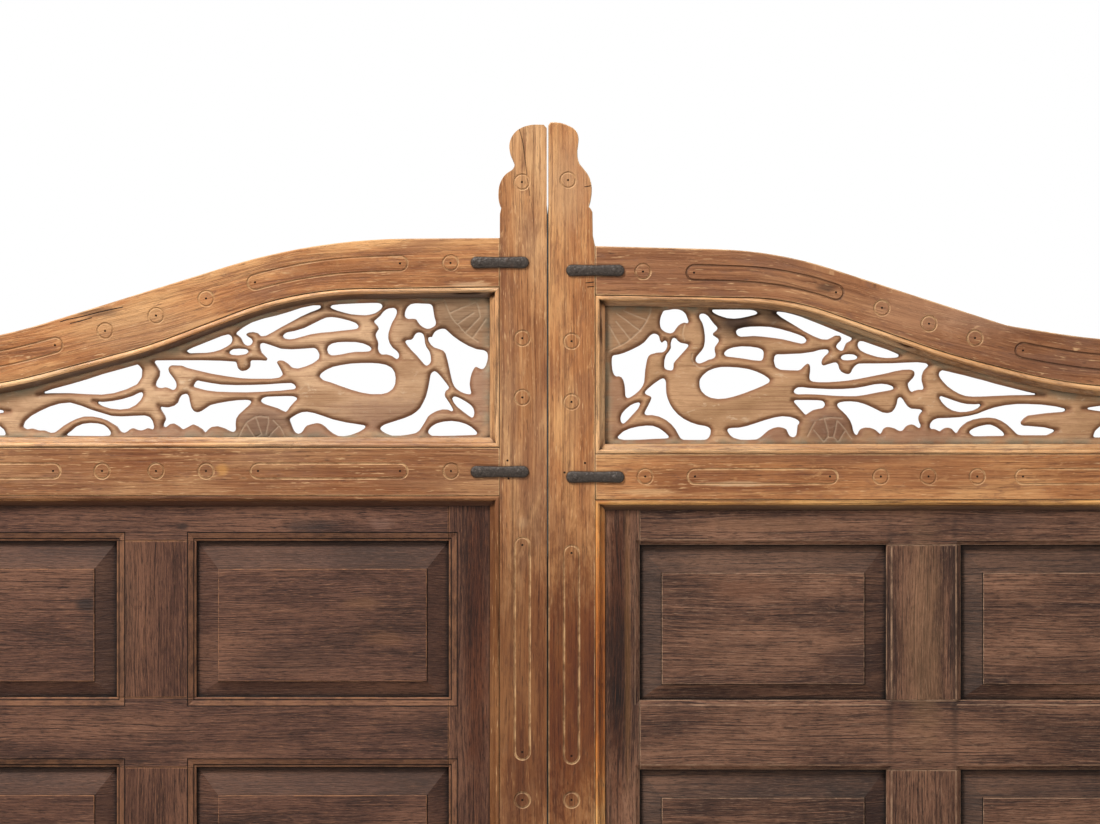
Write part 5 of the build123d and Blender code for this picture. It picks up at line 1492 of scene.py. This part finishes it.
@dataclass
class RaisedPanel(WornCopy):
    """Raised panel whose field stands out and whose bevels fall a little deeper."""

    # Painted light and shade of the bevels
    dirt_and_shade: BevelShading = LEFT_BEVELS

    def shape(self, mesh: bmesh.types.BMesh) -> None:
        """Raise the field, sink the foot of the bevels and paint a shadow line along the field's foot.

        Args:
            mesh: Mesh to change.
        """
        low, high = (corner.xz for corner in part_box(self.node))
        for vert in mesh.verts:
            inside = all(a + PLANE_SLACK < c < b - PLANE_SLACK for a, c, b in zip(low, vert.co.xz, high))
            depth = next((d for d in PANEL_DEPTHS if abs(vert.co.y - d) < PLANE_SLACK), None)
            if inside and depth is not None:
                vert.co.y = PANEL_DEPTHS[depth]
        # Painted shadow line along the foot of the field's step
        corners = np.array([v.co for v in mesh.verts if abs(v.co.y - FIELD_FRONT) < PLANE_SLACK])
        left, _, foot = corners.min(0) - FIELD_LINE / 2
        right, _, head = corners.max(0) + FIELD_LINE / 2
        line = [(left, head), (left, foot), (right, foot), (right, head)]
        points = [Vector((x, BEVEL_HEAD, z)) for x, z in line[0 if self.dirt_and_shade.left_line else 1:]]
        self.strokes = [Groove(points, False, FIELD_LINE, -1.0)]

    def mark(self, mesh: bmesh.types.BMesh) -> None:
        """Mark each bevel with the painted light and shade of the way it faces.

        Args:
            mesh: Mesh to change.
        """
        layer = mesh.faces.layers.float.new(BEVEL)
        for face in mesh.faces:
            if not BEVEL_SLOPES[0] < face.normal.y < BEVEL_SLOPES[1]:
                continue
            if abs(face.normal.x) > abs(face.normal.z):
                face[layer] = self.dirt_and_shade.left if face.normal.x < 0 else self.dirt_and_shade.right
            else:
                face[layer] = self.dirt_and_shade.head if face.normal.z > 0 else self.dirt_and_shade.foot


@dataclass
class JointStraps:
    """Forged straps across the joints of one leaf: half-round bars with hammered faces."""

    node: str
    material: Material
    voxel: float = 0.0013
    waist: float = 0.10
    waist_reach: float = 0.75
    crown: float = 0.6
    flank: float = 0.9
    foot: float = 0.05
    end_reach: float = 0.2
    end_fall: float = 0.6
    dent: float = 0.0005
    wave: float = 0.009
    bare: float = 0.002
    slack: float = 0.003

    def boxes(self) -> list[tuple[Vector, Vector]]:
        """Lower and upper corner of each strap, from the solid's separate pieces.

        Returns:
            The corners, from the lowest strap up.
        """
        mesh = merged_copy(self.node)
        found = []
        for group in islands(mesh):
            co = np.array([v.co for v in group])
            found.append((Vector(co.min(0)), Vector(co.max(0))))
        mesh.free()
        return sorted(found, key=lambda box: (box[0].z, box[0].x))

    def build(self) -> None:
        """Hammer each strap's bar out of its solid."""
        boxes = self.boxes()
        piece = new_piece(f"{self.node}_forged", merged_copy(self.node))
        co = remesh(piece, self.voxel)
        for low, high in boxes:
            near = (co > np.array(low) - self.slack) & (co < np.array(high) + self.slack)
            inside = np.where(np.all(near, axis=1))[0]
            middle = (low + high) / 2
            half = (high - low) / 2
            along = (co[inside, 0] - middle.x) / half.x
            across = (co[inside, 2] - middle.z) / half.z
            swell = 1 - self.waist * np.clip(1 - np.abs(along) / self.waist_reach, 0, 1)
            co[inside, 2] = middle.z + (co[inside, 2] - middle.z) * swell
            height = (high.y - co[inside, 1]) / (high.y - low.y)
            end = np.clip((np.abs(along) - 1) / self.end_reach + 1, 0, 1)
            round_off = np.sqrt(np.clip(1 - across ** 2 * self.flank, self.foot, 1)) ** self.crown
            round_off = round_off * np.sqrt(1 - self.end_fall * end ** 2)
            co[inside, 1] = high.y - height * (high.y - low.y) * round_off
        co[:, 1] += unevenness_of(co, self.wave) * self.dent * (co[:, 1] < FRONT - self.bare)
        put_points(piece, co)
        smooth_by_angle(piece, ROUND_DEGREES, False)
        hand_over(piece, self.node, self.material)


@dataclass
class StrapNails:
    """Low rounded nail heads of the straps, on their shanks."""

    node: str
    places: list[Vector]
    material: Material
    radius: float = 0.0058
    seat: float = FRONT - 0.0052
    flat: float = 0.32
    wave: float = 0.006
    dent: float = 0.0004
    shank: float = 0.0024
    bite: float = 0.022

    def build(self) -> None:
        """Put a head and shank at each place."""
        mesh = bmesh.new()
        for place in self.places:
            turn = Matrix.Translation((place.x, self.seat, place.z)) @ Matrix.Diagonal((1, self.flat, 1, 1))
            made = bmesh.ops.create_icosphere(mesh, subdivisions=3, radius=self.radius, matrix=turn)
            for vert in made["verts"]:
                vert.co += sway(vert.co, self.wave, self.dent)
            length = self.seat - (FRONT + self.bite)
            spot = Matrix.Translation((place.x, self.seat - length / 2, place.z)) @ FACING
            bmesh.ops.create_cone(mesh, cap_ends=True, segments=8, radius1=self.shank, radius2=self.shank,
                                  depth=abs(length), matrix=spot)
        piece = new_piece(f"{self.node}_forged", mesh)
        smooth_by_angle(piece, MOULDED_DEGREES, False)
        hand_over(piece, self.node, self.material)


# Incised fans and domes of the two carvings, and the lines on the right bird, in photo points
LEFT_STROKES_PX = [
    [(444.3, 300.5), (446.3, 306.5), (449.2, 313.0), (451.5, 317.5), (454.5, 321.5), (458.5, 325.0),
     (462.0, 329.5), (466.5, 333.8), (472.5, 338.0), (478.0, 341.5)],
    [(449.4, 312.6), (462.0, 307.0), (476.0, 302.0)], [(457.5, 323.5), (465.0, 317.8), (473.5, 312.5)],
    [(464.5, 332.5), (471.0, 326.0), (479.5, 317.0)], [(472.0, 338.0), (479.0, 328.5), (485.5, 319.0)],
    [(476.0, 302.0), (478.3, 307.5), (480.0, 316.5)],
    [(246.0, 421.8), (254.0, 417.0)], [(246.0, 421.8), (242.5, 427.0), (240.0, 432.0), (238.0, 436.5)],
    [(246.0, 424.5), (249.5, 431.0), (254.0, 436.8)],
    [(254.5, 416.6), (256.5, 421.5), (258.2, 427.0), (260.5, 433.5)],
    [(260.5, 434.0), (255.5, 436.8)], [(254.5, 416.6), (260.0, 416.2), (267.5, 417.0)],
    [(267.5, 417.0), (267.5, 422.5), (266.3, 428.0), (265.0, 434.0)],
    [(268.0, 436.5), (273.0, 430.5), (278.0, 426.0)],
    [(278.0, 426.0), (272.0, 420.0)], [(278.4, 426.2), (281.5, 431.0), (284.0, 436.5)],
]
RIGHT_STROKES_PX = [
    [(651.5, 309.0), (650.0, 314.0), (647.0, 320.5), (643.5, 326.0), (640.0, 330.5), (635.0, 335.0),
     (630.5, 339.0), (626.0, 342.3), (620.5, 345.2), (615.0, 347.5), (610.0, 350.0)],
    [(624.0, 310.5), (636.0, 315.5), (646.5, 319.3)],
    [(616.5, 313.0), (628.0, 321.0), (634.0, 326.0), (641.0, 330.5)],
    [(616.0, 321.0), (621.0, 327.0), (630.5, 339.0)], [(608.8, 325.0), (614.5, 335.0), (620.5, 345.2)],
    [(815.8, 422.0), (812.5, 427.5), (808.5, 436.0)],
    [(820.5, 419.3), (825.0, 418.2), (832.0, 417.3), (843.0, 418.3)],
    [(825.0, 418.4), (827.0, 425.0), (828.5, 431.0), (828.8, 436.8)],
    [(814.5, 430.0), (818.0, 434.0), (824.0, 441.3)],
    [(825.2, 441.0), (828.8, 437.0), (834.5, 437.0), (838.5, 441.3)],
    [(834.5, 437.0), (836.3, 430.0), (837.8, 420.3)],
    [(840.0, 440.5), (843.5, 434.5), (846.5, 430.3)], [(846.5, 430.0), (849.5, 435.0), (852.5, 438.5)],
    [(837.8, 420.3), (841.5, 424.0), (846.3, 429.8)],
    [(692.8, 353.5), (692.0, 358.5), (694.5, 363.5), (699.5, 367.3), (706.0, 367.5), (712.0, 365.0)],
    [(686.0, 322.5), (684.0, 328.0), (683.0, 334.0), (685.0, 340.5)],
]
RIGHT_STAINS_PX = [(738.0, 322.0, 38.0, 0.95), (778.0, 316.0, 30.0, 0.8), (716.0, 312.0, 18.0, 0.55),
                   (630.0, 325.0, 54.0, 0.25), (832.0, 428.0, 40.0, 0.3)]
LEFT_STAINS_PX = [(285.0, 420.0, 14.0, 0.45), (345.0, 310.0, 16.0, 0.35), (466.0, 318.0, 60.0, 0.5),
                  (262.0, 426.0, 46.0, 0.45)]


# Cracks of the two finials, the right rail's joint and the left rail's upper edge
LEFT_CRACKS_PX = [[(519.5, 129.0), (523.0, 143.0), (525.0, 158.0), (527.0, 175.0), (530.0, 196.0)]]
RIGHT_CRACKS_PX = [[(585.5, 283.0), (594.0, 282.0)], [(587.0, 287.0), (594.0, 286.5)],
                   [(584.5, 186.8), (591.0, 185.8)]]
LEFT_RAIL_CRACKS_PX = [[(60.0, 322.0), (68.0, 319.3), (81.7, 316.5), (99.7, 312.0), (123.0, 307.0)],
                       [(70.0, 323.5), (80.0, 321.2), (92.0, 317.6)]]
CRACK_RADIUS = 0.0011


def cracks(lines: Sequence[Sequence[tuple[float, float]]], share: float = -1.0) -> list[Groove]:
    """Thin dark cracks along photo points."""
    return [Groove([at_pixel(*spot) for spot in line], False, CRACK_RADIUS, share) for line in lines]


# Widths of worn edges, a nail's distance from the middle of its strap, and a hinge stile's head without rings
MEMBER_EDGE = 0.0020
FIELD_EDGE = 0.0017
IRON_EDGE = 0.0008
POST_EDGE = 0.004
NAIL_OFFSET = 0.039
BARE_HEAD = 0.2


@dataclass
class GateLeaf:
    """One leaf of the gate with everything that rides on it."""

    side: str
    rail_rings_px: list[float]
    rail_oblongs_px: list[tuple[float, float]]
    mid_rings_px: list[float]
    mid_oblongs_px: list[tuple[float, float]]
    mid_py: float
    stile_px: float
    stile_rings_py: list[float]
    finial_px: tuple[float, float]
    stile_oblongs_py: list[tuple[float, float]]
    strokes_px: list[list[tuple[float, float]]]
    stains_px: list[tuple[float, float, float, float]]
    drills_px: list[tuple[float, float]]
    cracks: list[Groove]
    rail_finish: TimberFinish
    stile_finish: TimberFinish
    mid_finish: TimberFinish
    bead_finish: TimberFinish
    lower_bead_finish: TimberFinish
    carving: CarvingFinish
    moulded: bool
    iron: Material
    dark: dict[Grain, Material]
    bevels: BevelShading
    rail_cracks: list[Groove] = field(default_factory=list)
    rail_strip_share: float = 1.0
    # Share of painted shade in the head bead's hollows
    head_shade: float = 1.0

    def name(self, part: str) -> str:
        """Name of one of this leaf's solids."""
        return f"{self.side}_{part}"

    def build(self) -> None:
        """Build and dress the whole leaf."""
        self.build_rails()
        self.build_stiles()
        CarvedPanel(self.name("carved_panel"), self.carving, self.strokes_px, self.stains_px).build()
        BeadFrame(self.name("upper_beads"), self.bead_finish, self.head_shade).build()
        BeadFrame(self.name("lower_beads"), self.lower_bead_finish).build()
        self.build_insert()
        straps = JointStraps(self.name("joint_straps"), self.iron)
        nails = []
        for low, high in straps.boxes():
            middle = (low + high) / 2
            nails += [middle + Vector((offset, 0.0, 0.0)) for offset in (-NAIL_OFFSET, NAIL_OFFSET)]
        straps.build()
        StrapNails(self.name("strap_nails"), nails, self.iron).build()
        for part in ("hinge_straps", "back_nails"):
            WornCopy(self.name(part), self.iron, IRON_SLOT, IRON_EDGE).build()

    def build_rails(self) -> None:
        """Build the serpentine top rail and the two level rails."""
        line = RailLine(self.name("top_rail"))
        rings = [line.point(px) for px in self.rail_rings_px]
        runs = [line.run(*ends) for ends in self.rail_oblongs_px]
        rail = FrameMember(self.name("top_rail"), self.rail_finish, rings, runs, self.rail_cracks,
                           strip_share=self.rail_strip_share).build()
        line.mark_grain(rail)
        low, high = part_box(self.name("bottom_rail"))
        bottom_py = GROUND_PX - (low.z + high.z) / 2 / PIXEL
        for part, py in (("mid_rail", self.mid_py), ("bottom_rail", bottom_py)):
            rings = [at_pixel(px, py) for px in self.mid_rings_px]
            runs = [[at_pixel(px, py) for px in (a, (a + b) / 2, b)] for a, b in self.mid_oblongs_px]
            FrameMember(self.name(part), self.mid_finish, rings, runs).build()

    def build_stiles(self) -> None:
        """Build the meeting stile with its finial, and the hinge stile."""
        rings = [at_pixel(self.stile_px, py) for py in self.stile_rings_py]
        runs = [[at_pixel(self.stile_px, a), at_pixel(self.stile_px, b)] for a, b in self.stile_oblongs_py]
        drills = [at_pixel(*spot) for spot in self.drills_px]
        FrameMember(self.name("meeting_stile"), self.stile_finish, rings + [at_pixel(*self.finial_px)], runs,
                    self.cracks, drills, LIP if self.side == "left" else -LIP).build()
        low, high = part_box(self.name("hinge_stile"))
        shift = Vector(((low.x + high.x) / 2 - at_pixel(self.stile_px, 0.0).x, 0.0, 0.0))
        below = [p + shift for p in rings if p.z < high.z - BARE_HEAD]
        FrameMember(self.name("hinge_stile"), self.stile_finish, below,
                    [[p + shift for p in run] for run in runs]).build()

    def build_insert(self) -> None:
        """Dress the dark insert's frame and raised panels."""
        upright = ("insert_meeting_stile", "insert_hinge_stile", "insert_muntins")
        level = ("insert_top_rail", "insert_bottom_rail", "insert_cross_rails")
        rows, columns = ("top", "middle", "bottom"), ("inner", "outer")
        panels = [f"{row}_{column}_panel" for row in rows for column in columns]
        quirks = []
        if self.moulded:
            boxes = [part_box(self.name(part)) for part in panels]
            quirks = [rectangle(*box, *quirk, QUIRK_RADIUS) for box in boxes for quirk in QUIRKS]
        member = MouldedMember if self.moulded else WornCopy
        for parts, grain in ((upright, Grain.ALONG_Z), (level, Grain.ALONG_X)):
            for part in parts:
                member(self.name(part), self.dark[grain], PANEL_SLOT, MEMBER_EDGE, strokes=quirks,
                       sharp=PANEL_SHARP).build()
        for part in panels:
            RaisedPanel(self.name(part), self.dark[Grain.ALONG_X], PANEL_SLOT, FIELD_EDGE, FIELD_WEAR,
                        sharp=PANEL_SHARP, dirt_and_shade=self.bevels).build()


@dataclass
class Surround:
    """Posts, threshold, hooks and bolts."""

    iron: Material

    def build(self) -> None:
        """Dress the frame round the leaves and the ironwork on the back."""
        post = TimberFinish("post_wood", Grain.ALONG_Z, stain_share=0.7).material()
        sill = TimberFinish("threshold_wood", Grain.ALONG_X, stain_share=0.8).material()
        for node in ("left_post", "right_post"):
            WornCopy(node, post, FRAME_SLOT, POST_EDGE).build()
        WornCopy("threshold", sill, FRAME_SLOT, POST_EDGE).build()
        for node in ("left_hinge_hooks", "right_hinge_hooks", "hook_nails", "slide_bolt", "bolt_guides",
                     "bolt_keeper", "drop_bolt", "drop_bolt_guides"):
            WornCopy(node, self.iron, IRON_SLOT, IRON_EDGE).build()


@dataclass
class Studio:
    """Camera, lights, floor and white background."""

    distance: float = 6.0
    aim: tuple[float, float] = (550.0, 412.0)
    width_px: float = 1100.0
    sensor: float = 36.0
    around: float = 0.26
    floor_half: float = 30.0

    def build(self) -> None:
        """Set up the picture."""
        self.camera()
        self.lights()
        self.floor()
        self.world()
        bpy.context.scene.view_settings.view_transform = "Standard"

    def camera(self) -> None:
        """Straight-on camera at the photograph's framing."""
        data = bpy.data.cameras.new("camera")
        data.sensor_width = self.sensor
        data.sensor_fit = "HORIZONTAL"
        data.lens = self.sensor * self.distance / (self.width_px * PIXEL)
        made = bpy.data.objects.new("camera", data)
        bpy.context.scene.collection.objects.link(made)
        made.location = at_pixel(*self.aim, FRONT - self.distance)
        made.rotation_euler = (math.radians(90.0), 0.0, 0.0)
        bpy.context.scene.camera = made

    def lamp(self, name: str, place: Sequence[float], target: Sequence[float], size: float,
             power: float) -> None:
        """Soft square lamp.

        Args:
            name: Its name.
            place: Where it stands.
            target: What it faces.
            size: Length of its side.
            power: Watts.
        """
        data = bpy.data.lights.new(name, "AREA")
        data.size = size
        data.energy = power
        made = bpy.data.objects.new(name, data)
        bpy.context.scene.collection.objects.link(made)
        made.location = place
        made.rotation_euler = (Vector(target) - Vector(place)).to_track_quat("-Z", "Y").to_euler()

    def lights(self) -> None:
        """Key from the upper left, fill from the right, and one for the back."""
        self.lamp("key", (-2.3, -2.9, 6.0), (0.0, 0.0, 1.6), 1.4, 415.0)
        self.lamp("fill", (3.8, -5.0, 2.6), (0.0, 0.0, 1.5), 3.0, 50.0)
        self.lamp("back", (1.5, 5.0, 4.2), (0.0, 0.0, 1.3), 3.0, 260.0)

    def floor(self) -> None:
        """Pale floor under the gate."""
        mesh = bmesh.new()
        bmesh.ops.create_grid(mesh, x_segments=1, y_segments=1, size=self.floor_half)
        made = new_piece("floor", mesh)
        shader = Shader("pale_floor", roughness=0.9, specular=0.1)
        shader.surface.inputs["Base Color"].default_value = tone("dedbd6")
        made.data.materials.append(shader.material)

    def world(self) -> None:
        """White behind the gate, and an even light from all round."""
        world = bpy.data.worlds.new("studio")
        bpy.context.scene.world = world
        world.use_nodes = True
        tree = world.node_tree
        tree.nodes.clear()
        path, seen, through, light, white, choose, out = (tree.nodes.new(f"ShaderNode{kind}") for kind in (
            "LightPath", "Math", "Math", "Background", "Background", "MixShader", "OutputWorld"))
        for either in (seen, through):
            either.operation = "MAXIMUM"
        for source in (light, white):
            source.inputs["Color"].default_value = (1.0, 1.0, 1.0, 1.0)
        light.inputs["Strength"].default_value = self.around
        for source, target in (
                (path.outputs["Is Camera Ray"], seen.inputs[0]), (through.outputs[0], seen.inputs[1]),
                (path.outputs["Is Glossy Ray"], through.inputs[0]),
                (path.outputs["Is Transmission Ray"], through.inputs[1]), (seen.outputs[0], choose.inputs[0]),
                (light.outputs[0], choose.inputs[1]), (white.outputs[0], choose.inputs[2]),
                (choose.outputs[0], out.inputs[0])):
            tree.links.new(source, target)


# Stains, pale and dark patches of the finishes, in photo points
LEFT_DARK_SPOTS = (
    Spot(476.0, 640.0, 15.0, 230.0, "cfb29a", 1.0, "MULTIPLY"), Spot(310.0, 526.0, 36.0, 9.0, "2a1f1b", 0.6),
    Spot(382.0, 524.0, 16.0, 7.0, "8a6656", 0.4), Spot(182.0, 527.0, 7.0, 5.0, "1c1310", 0.7),
    Spot(362.0, 604.0, 26.0, 8.0, "80583c", 0.45), Spot(384.0, 640.0, 24.0, 10.0, "7d5438", 0.4),
    Spot(300.0, 660.0, 60.0, 18.0, "3f281d", 0.35), Spot(84.0, 604.0, 11.0, 9.0, "1f1715", 0.75),
    Spot(110.0, 620.0, 30.0, 120.0, "dadfe0", 1.0, "MULTIPLY"),
)
RIGHT_DARK_SPOTS = (
    Spot(618.0, 640.0, 14.0, 230.0, "a2866f", 1.0, "MULTIPLY"),
    Spot(628.0, 640.0, 4.0, 230.0, "83592f", 0.35), Spot(924.0, 640.0, 24.0, 150.0, "a17a55", 0.22),
    Spot(956.0, 640.0, 6.0, 160.0, "20120c", 0.6), Spot(891.0, 640.0, 5.0, 160.0, "24150e", 0.5),
    Spot(770.0, 525.0, 110.0, 10.0, "94694c", 0.4), Spot(745.0, 590.0, 44.0, 13.0, "87593f", 0.35),
    Spot(850.0, 660.0, 34.0, 16.0, "3d2720", 0.4), Spot(1000.0, 522.0, 50.0, 12.0, "4a342b", 0.4),
)
LEFT_CARVING_SPOTS = (
    Spot(262.0, 424.0, 36.0, 26.0, "80584a", 0.6), Spot(170.0, 434.0, 70.0, 18.0, "80584a", 0.5),
    Spot(315.0, 432.0, 24.0, 14.0, "80584a", 0.55), Spot(440.0, 428.0, 60.0, 16.0, "80584a", 0.45),
    Spot(478.0, 385.0, 18.0, 50.0, "80584a", 0.55), Spot(372.0, 425.0, 26.0, 10.0, "80584a", 0.45),
    Spot(385.0, 412.0, 70.0, 18.0, "866350", 0.5),
)
RIGHT_CARVING_SPOTS = (
    Spot(832.0, 426.0, 36.0, 26.0, "7d5445", 0.6), Spot(920.0, 438.0, 80.0, 16.0, "7d5445", 0.5),
    Spot(775.0, 436.0, 24.0, 12.0, "7d5445", 0.55), Spot(650.0, 434.0, 60.0, 14.0, "7d5445", 0.45),
    Spot(618.0, 395.0, 16.0, 50.0, "7d5445", 0.45), Spot(630.0, 326.0, 40.0, 28.0, "8a6552", 0.2),
)
LEFT_RAIL_SPOTS = (
    Spot(95.0, 312.0, 34.0, 6.0, "3a2110", 0.6), Spot(470.0, 285.0, 26.0, 4.0, "e8c296", 0.4),
    Spot(330.0, 268.0, 64.0, 10.0, "7f4a25", 0.6), Spot(150.0, 334.0, 90.0, 34.0, "a07a58", 0.4),
)
RIGHT_RAIL_SPOTS = (
    Spot(826.0, 288.0, 13.0, 5.0, "352114", 0.65), Spot(660.0, 272.0, 45.0, 20.0, "8f5f40", 0.35),
    Spot(985.0, 305.0, 70.0, 40.0, "b58a6c", 0.45), Spot(915.0, 310.0, 60.0, 34.0, "c0906c", 0.35),
)
LEFT_STILE_SPOTS = (
    Spot(522.0, 523.0, 7.0, 8.0, "d9b68c", 0.25), Spot(522.0, 410.0, 16.0, 60.0, "8a5733", 0.25),
    Spot(525.0, 690.0, 90.0, 225.0, "ab9582", 1.0, "MULTIPLY"),
    Spot(525.0, 1100.0, 60.0, 300.0, "cdc0b8", 1.0, "MULTIPLY"),
)
RIGHT_STILE_SPOTS = (
    Spot(568.0, 185.0, 30.0, 60.0, "a57d5f", 0.45),
    Spot(575.0, 690.0, 90.0, 220.0, "94765c", 1.0, "MULTIPLY"),
    Spot(575.0, 1100.0, 60.0, 300.0, "c2b4ac", 1.0, "MULTIPLY"),
)
LEFT_MID_SPOTS = (
    Spot(222.0, 470.0, 8.0, 8.0, "cb9048", 0.5), Spot(258.0, 486.0, 28.0, 7.0, "74472a", 0.5),
    Spot(410.0, 482.0, 60.0, 8.0, "7d5032", 0.4),
)
RIGHT_MID_SPOTS = (
    Spot(830.0, 457.0, 240.0, 8.0, "74472c", 0.55), Spot(735.0, 484.0, 45.0, 3.0, "ecc79c", 0.5),
    Spot(930.0, 474.0, 100.0, 18.0, "8a5634", 0.4), Spot(645.0, 492.0, 40.0, 4.0, "e3b783", 0.4),
)
LEFT_BEAD_SPOTS = (
    Spot(380.0, 445.0, 130.0, 12.0, "8c5a3c", 0.55),
)
RIGHT_LOW_BEAD_SPOTS = (
    Spot(601.0, 660.0, 14.0, 220.0, "ecc096", 1.0, "MULTIPLY"),
)


def dark_woods(side: str, spots: tuple[Spot, ...], **tones: str) -> dict[Grain, Material]:
    """An insert's dark wood for both ways of the grain.

    Args:
        side: Leaf that the finish is named after.
        spots: Its patches.
        tones: Colours that differ from the usual ones.

    Returns:
        The materials by the way of their grain.
    """
    ways = (Grain.ALONG_X, Grain.ALONG_Z)
    return {way: DarkFinish(f"{side}_dark_{way.value}", way, spots=spots, **tones).material() for way in ways}


def left_leaf(iron: Material) -> GateLeaf:
    """The left leaf's ornament and finishes.

    Args:
        iron: Finish of its ironwork.

    Returns:
        The leaf.
    """
    return GateLeaf(
        "left", rail_rings_px=[450.5, 206.0, 156.0, 105.0, -140.5],
        rail_oblongs_px=[(255.0, 400.0), (-89.0, 55.0)], mid_rings_px=[451.0, 206.0, 156.0, 102.0, -140.0],
        mid_oblongs_px=[(258.0, 400.0), (-89.0, 53.0)], mid_py=471.0, stile_px=522.3,
        stile_rings_py=[338.2, 397.4, 800.0, 850.0, 1150.0], finial_px=(522.0, 182.0),
        stile_oblongs_py=[(545.0, 752.0), (900.0, 1102.0)], strokes_px=LEFT_STROKES_PX,
        stains_px=LEFT_STAINS_PX, drills_px=[(507.5, 460.5), (508.5, 478.5)],
        cracks=cracks(LEFT_CRACKS_PX, -0.45), rail_cracks=cracks(LEFT_RAIL_CRACKS_PX), moulded=True,
        iron=iron,
        dark=dark_woods("left", LEFT_DARK_SPOTS, ridge="7d5540", body="5b3a2c", deep="331b10", dust="a2704d",
                        grime="57453c"),
        carving=CarvingFinish("left_carving", flat="c9a27d", shade="a57e5c", spots=LEFT_CARVING_SPOTS),
        rail_finish=TimberFinish("left_rail_wood", Grain.STORED, spots=LEFT_RAIL_SPOTS),
        stile_finish=TimberFinish("left_stile_wood", Grain.ALONG_Z, pale="d2a170", body="b0784a",
                                  stain_share=0.6, spots=LEFT_STILE_SPOTS),
        mid_finish=TimberFinish("left_mid_wood", Grain.ALONG_X, pale="b5855a", body="92603a",
                                stain_share=0.65, spots=LEFT_MID_SPOTS),
        bead_finish=TimberFinish("left_bead_wood", Grain.STORED, pale="f6c690", body="e3a76e", deep="b67843",
                                 dirt_and_shade="3b200e", stain_share=0.35, quirk_shade=True, gloss=0.5,
                                 spots=LEFT_BEAD_SPOTS),
        lower_bead_finish=TimberFinish("left_low_bead_wood", Grain.STORED, pale="a37045", body="84532e",
                                       deep="60361a", dirt_and_shade="40200e", quirk_shade=True, gloss=0.25),
        bevels=LEFT_BEVELS, rail_strip_share=0.6)


def right_leaf(iron: Material) -> GateLeaf:
    """The right leaf's ornament and finishes.

    Args:
        iron: Finish of its ironwork.

    Returns:
        The leaf.
    """
    return GateLeaf(
        "right", rail_rings_px=[643.0, 882.0, 929.0, 975.0, 1213.0],
        rail_oblongs_px=[(694.0, 836.0), (1023.0, 1162.0)],
        mid_rings_px=[645.2, 880.8, 928.5, 977.3, 1211.0], mid_oblongs_px=[(695.0, 830.0), (1023.0, 1158.0)],
        mid_py=476.5, stile_px=571.5, stile_rings_py=[341.2, 401.9, 800.0, 850.0, 1150.0],
        finial_px=(568.0, 180.0), stile_oblongs_py=[(553.0, 756.0), (900.0, 1102.0)],
        strokes_px=RIGHT_STROKES_PX, stains_px=RIGHT_STAINS_PX, drills_px=[(585.0, 463.0), (564.5, 472.5)],
        cracks=cracks(RIGHT_CRACKS_PX), moulded=False, iron=iron,
        dark=dark_woods("right", RIGHT_DARK_SPOTS, ridge="93684f", body="61402f", deep="2c170f",
                        grime="3a302a"),
        carving=CarvingFinish("right_carving", flat="bf946d", shade="9c7551", spots=RIGHT_CARVING_SPOTS),
        rail_finish=TimberFinish("right_rail_wood", Grain.STORED, pale="ae7b53", body="95613d", deep="7b4b2b",
                                 stain="7a5440", spots=RIGHT_RAIL_SPOTS),
        stile_finish=TimberFinish("right_stile_wood", Grain.ALONG_Z, stain_share=0.4,
                                  spots=RIGHT_STILE_SPOTS),
        mid_finish=TimberFinish("right_mid_wood", Grain.ALONG_X, stain_share=0.4, spots=RIGHT_MID_SPOTS),
        bead_finish=TimberFinish("right_bead_wood", Grain.STORED, pale="f4c58f", body="e0a66e", deep="b67a45",
                                 dirt_and_shade="3b200e", stain_share=0.35, quirk_shade=True, gloss=0.5),
        lower_bead_finish=TimberFinish("right_low_bead_wood", Grain.STORED, pale="efb874", body="d2954f",
                                       deep="a0662f", dirt_and_shade="3a1f0e", quirk_shade=True, gloss=0.35,
                                       spots=RIGHT_LOW_BEAD_SPOTS),
        # The right rail's strips get painted shade, and its head bead's hollows less painted shade than the
        # left's
        bevels=RIGHT_BEVELS, rail_strip_share=-0.35, head_shade=0.6)


def main() -> None:
    """Build the leaves, the surround and the studio."""
    logging.basicConfig(level=logging.INFO, format="%(name)s: %(message)s")
    noise.seed_set(NOISE_SEED)
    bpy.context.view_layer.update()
    iron = IronFinish().material()
    left_leaf(iron).build()
    right_leaf(iron).build()
    Surround(iron).build()
    Studio().build()
    bpy.context.view_layer.update()


if __name__ == "__main__":
    main()
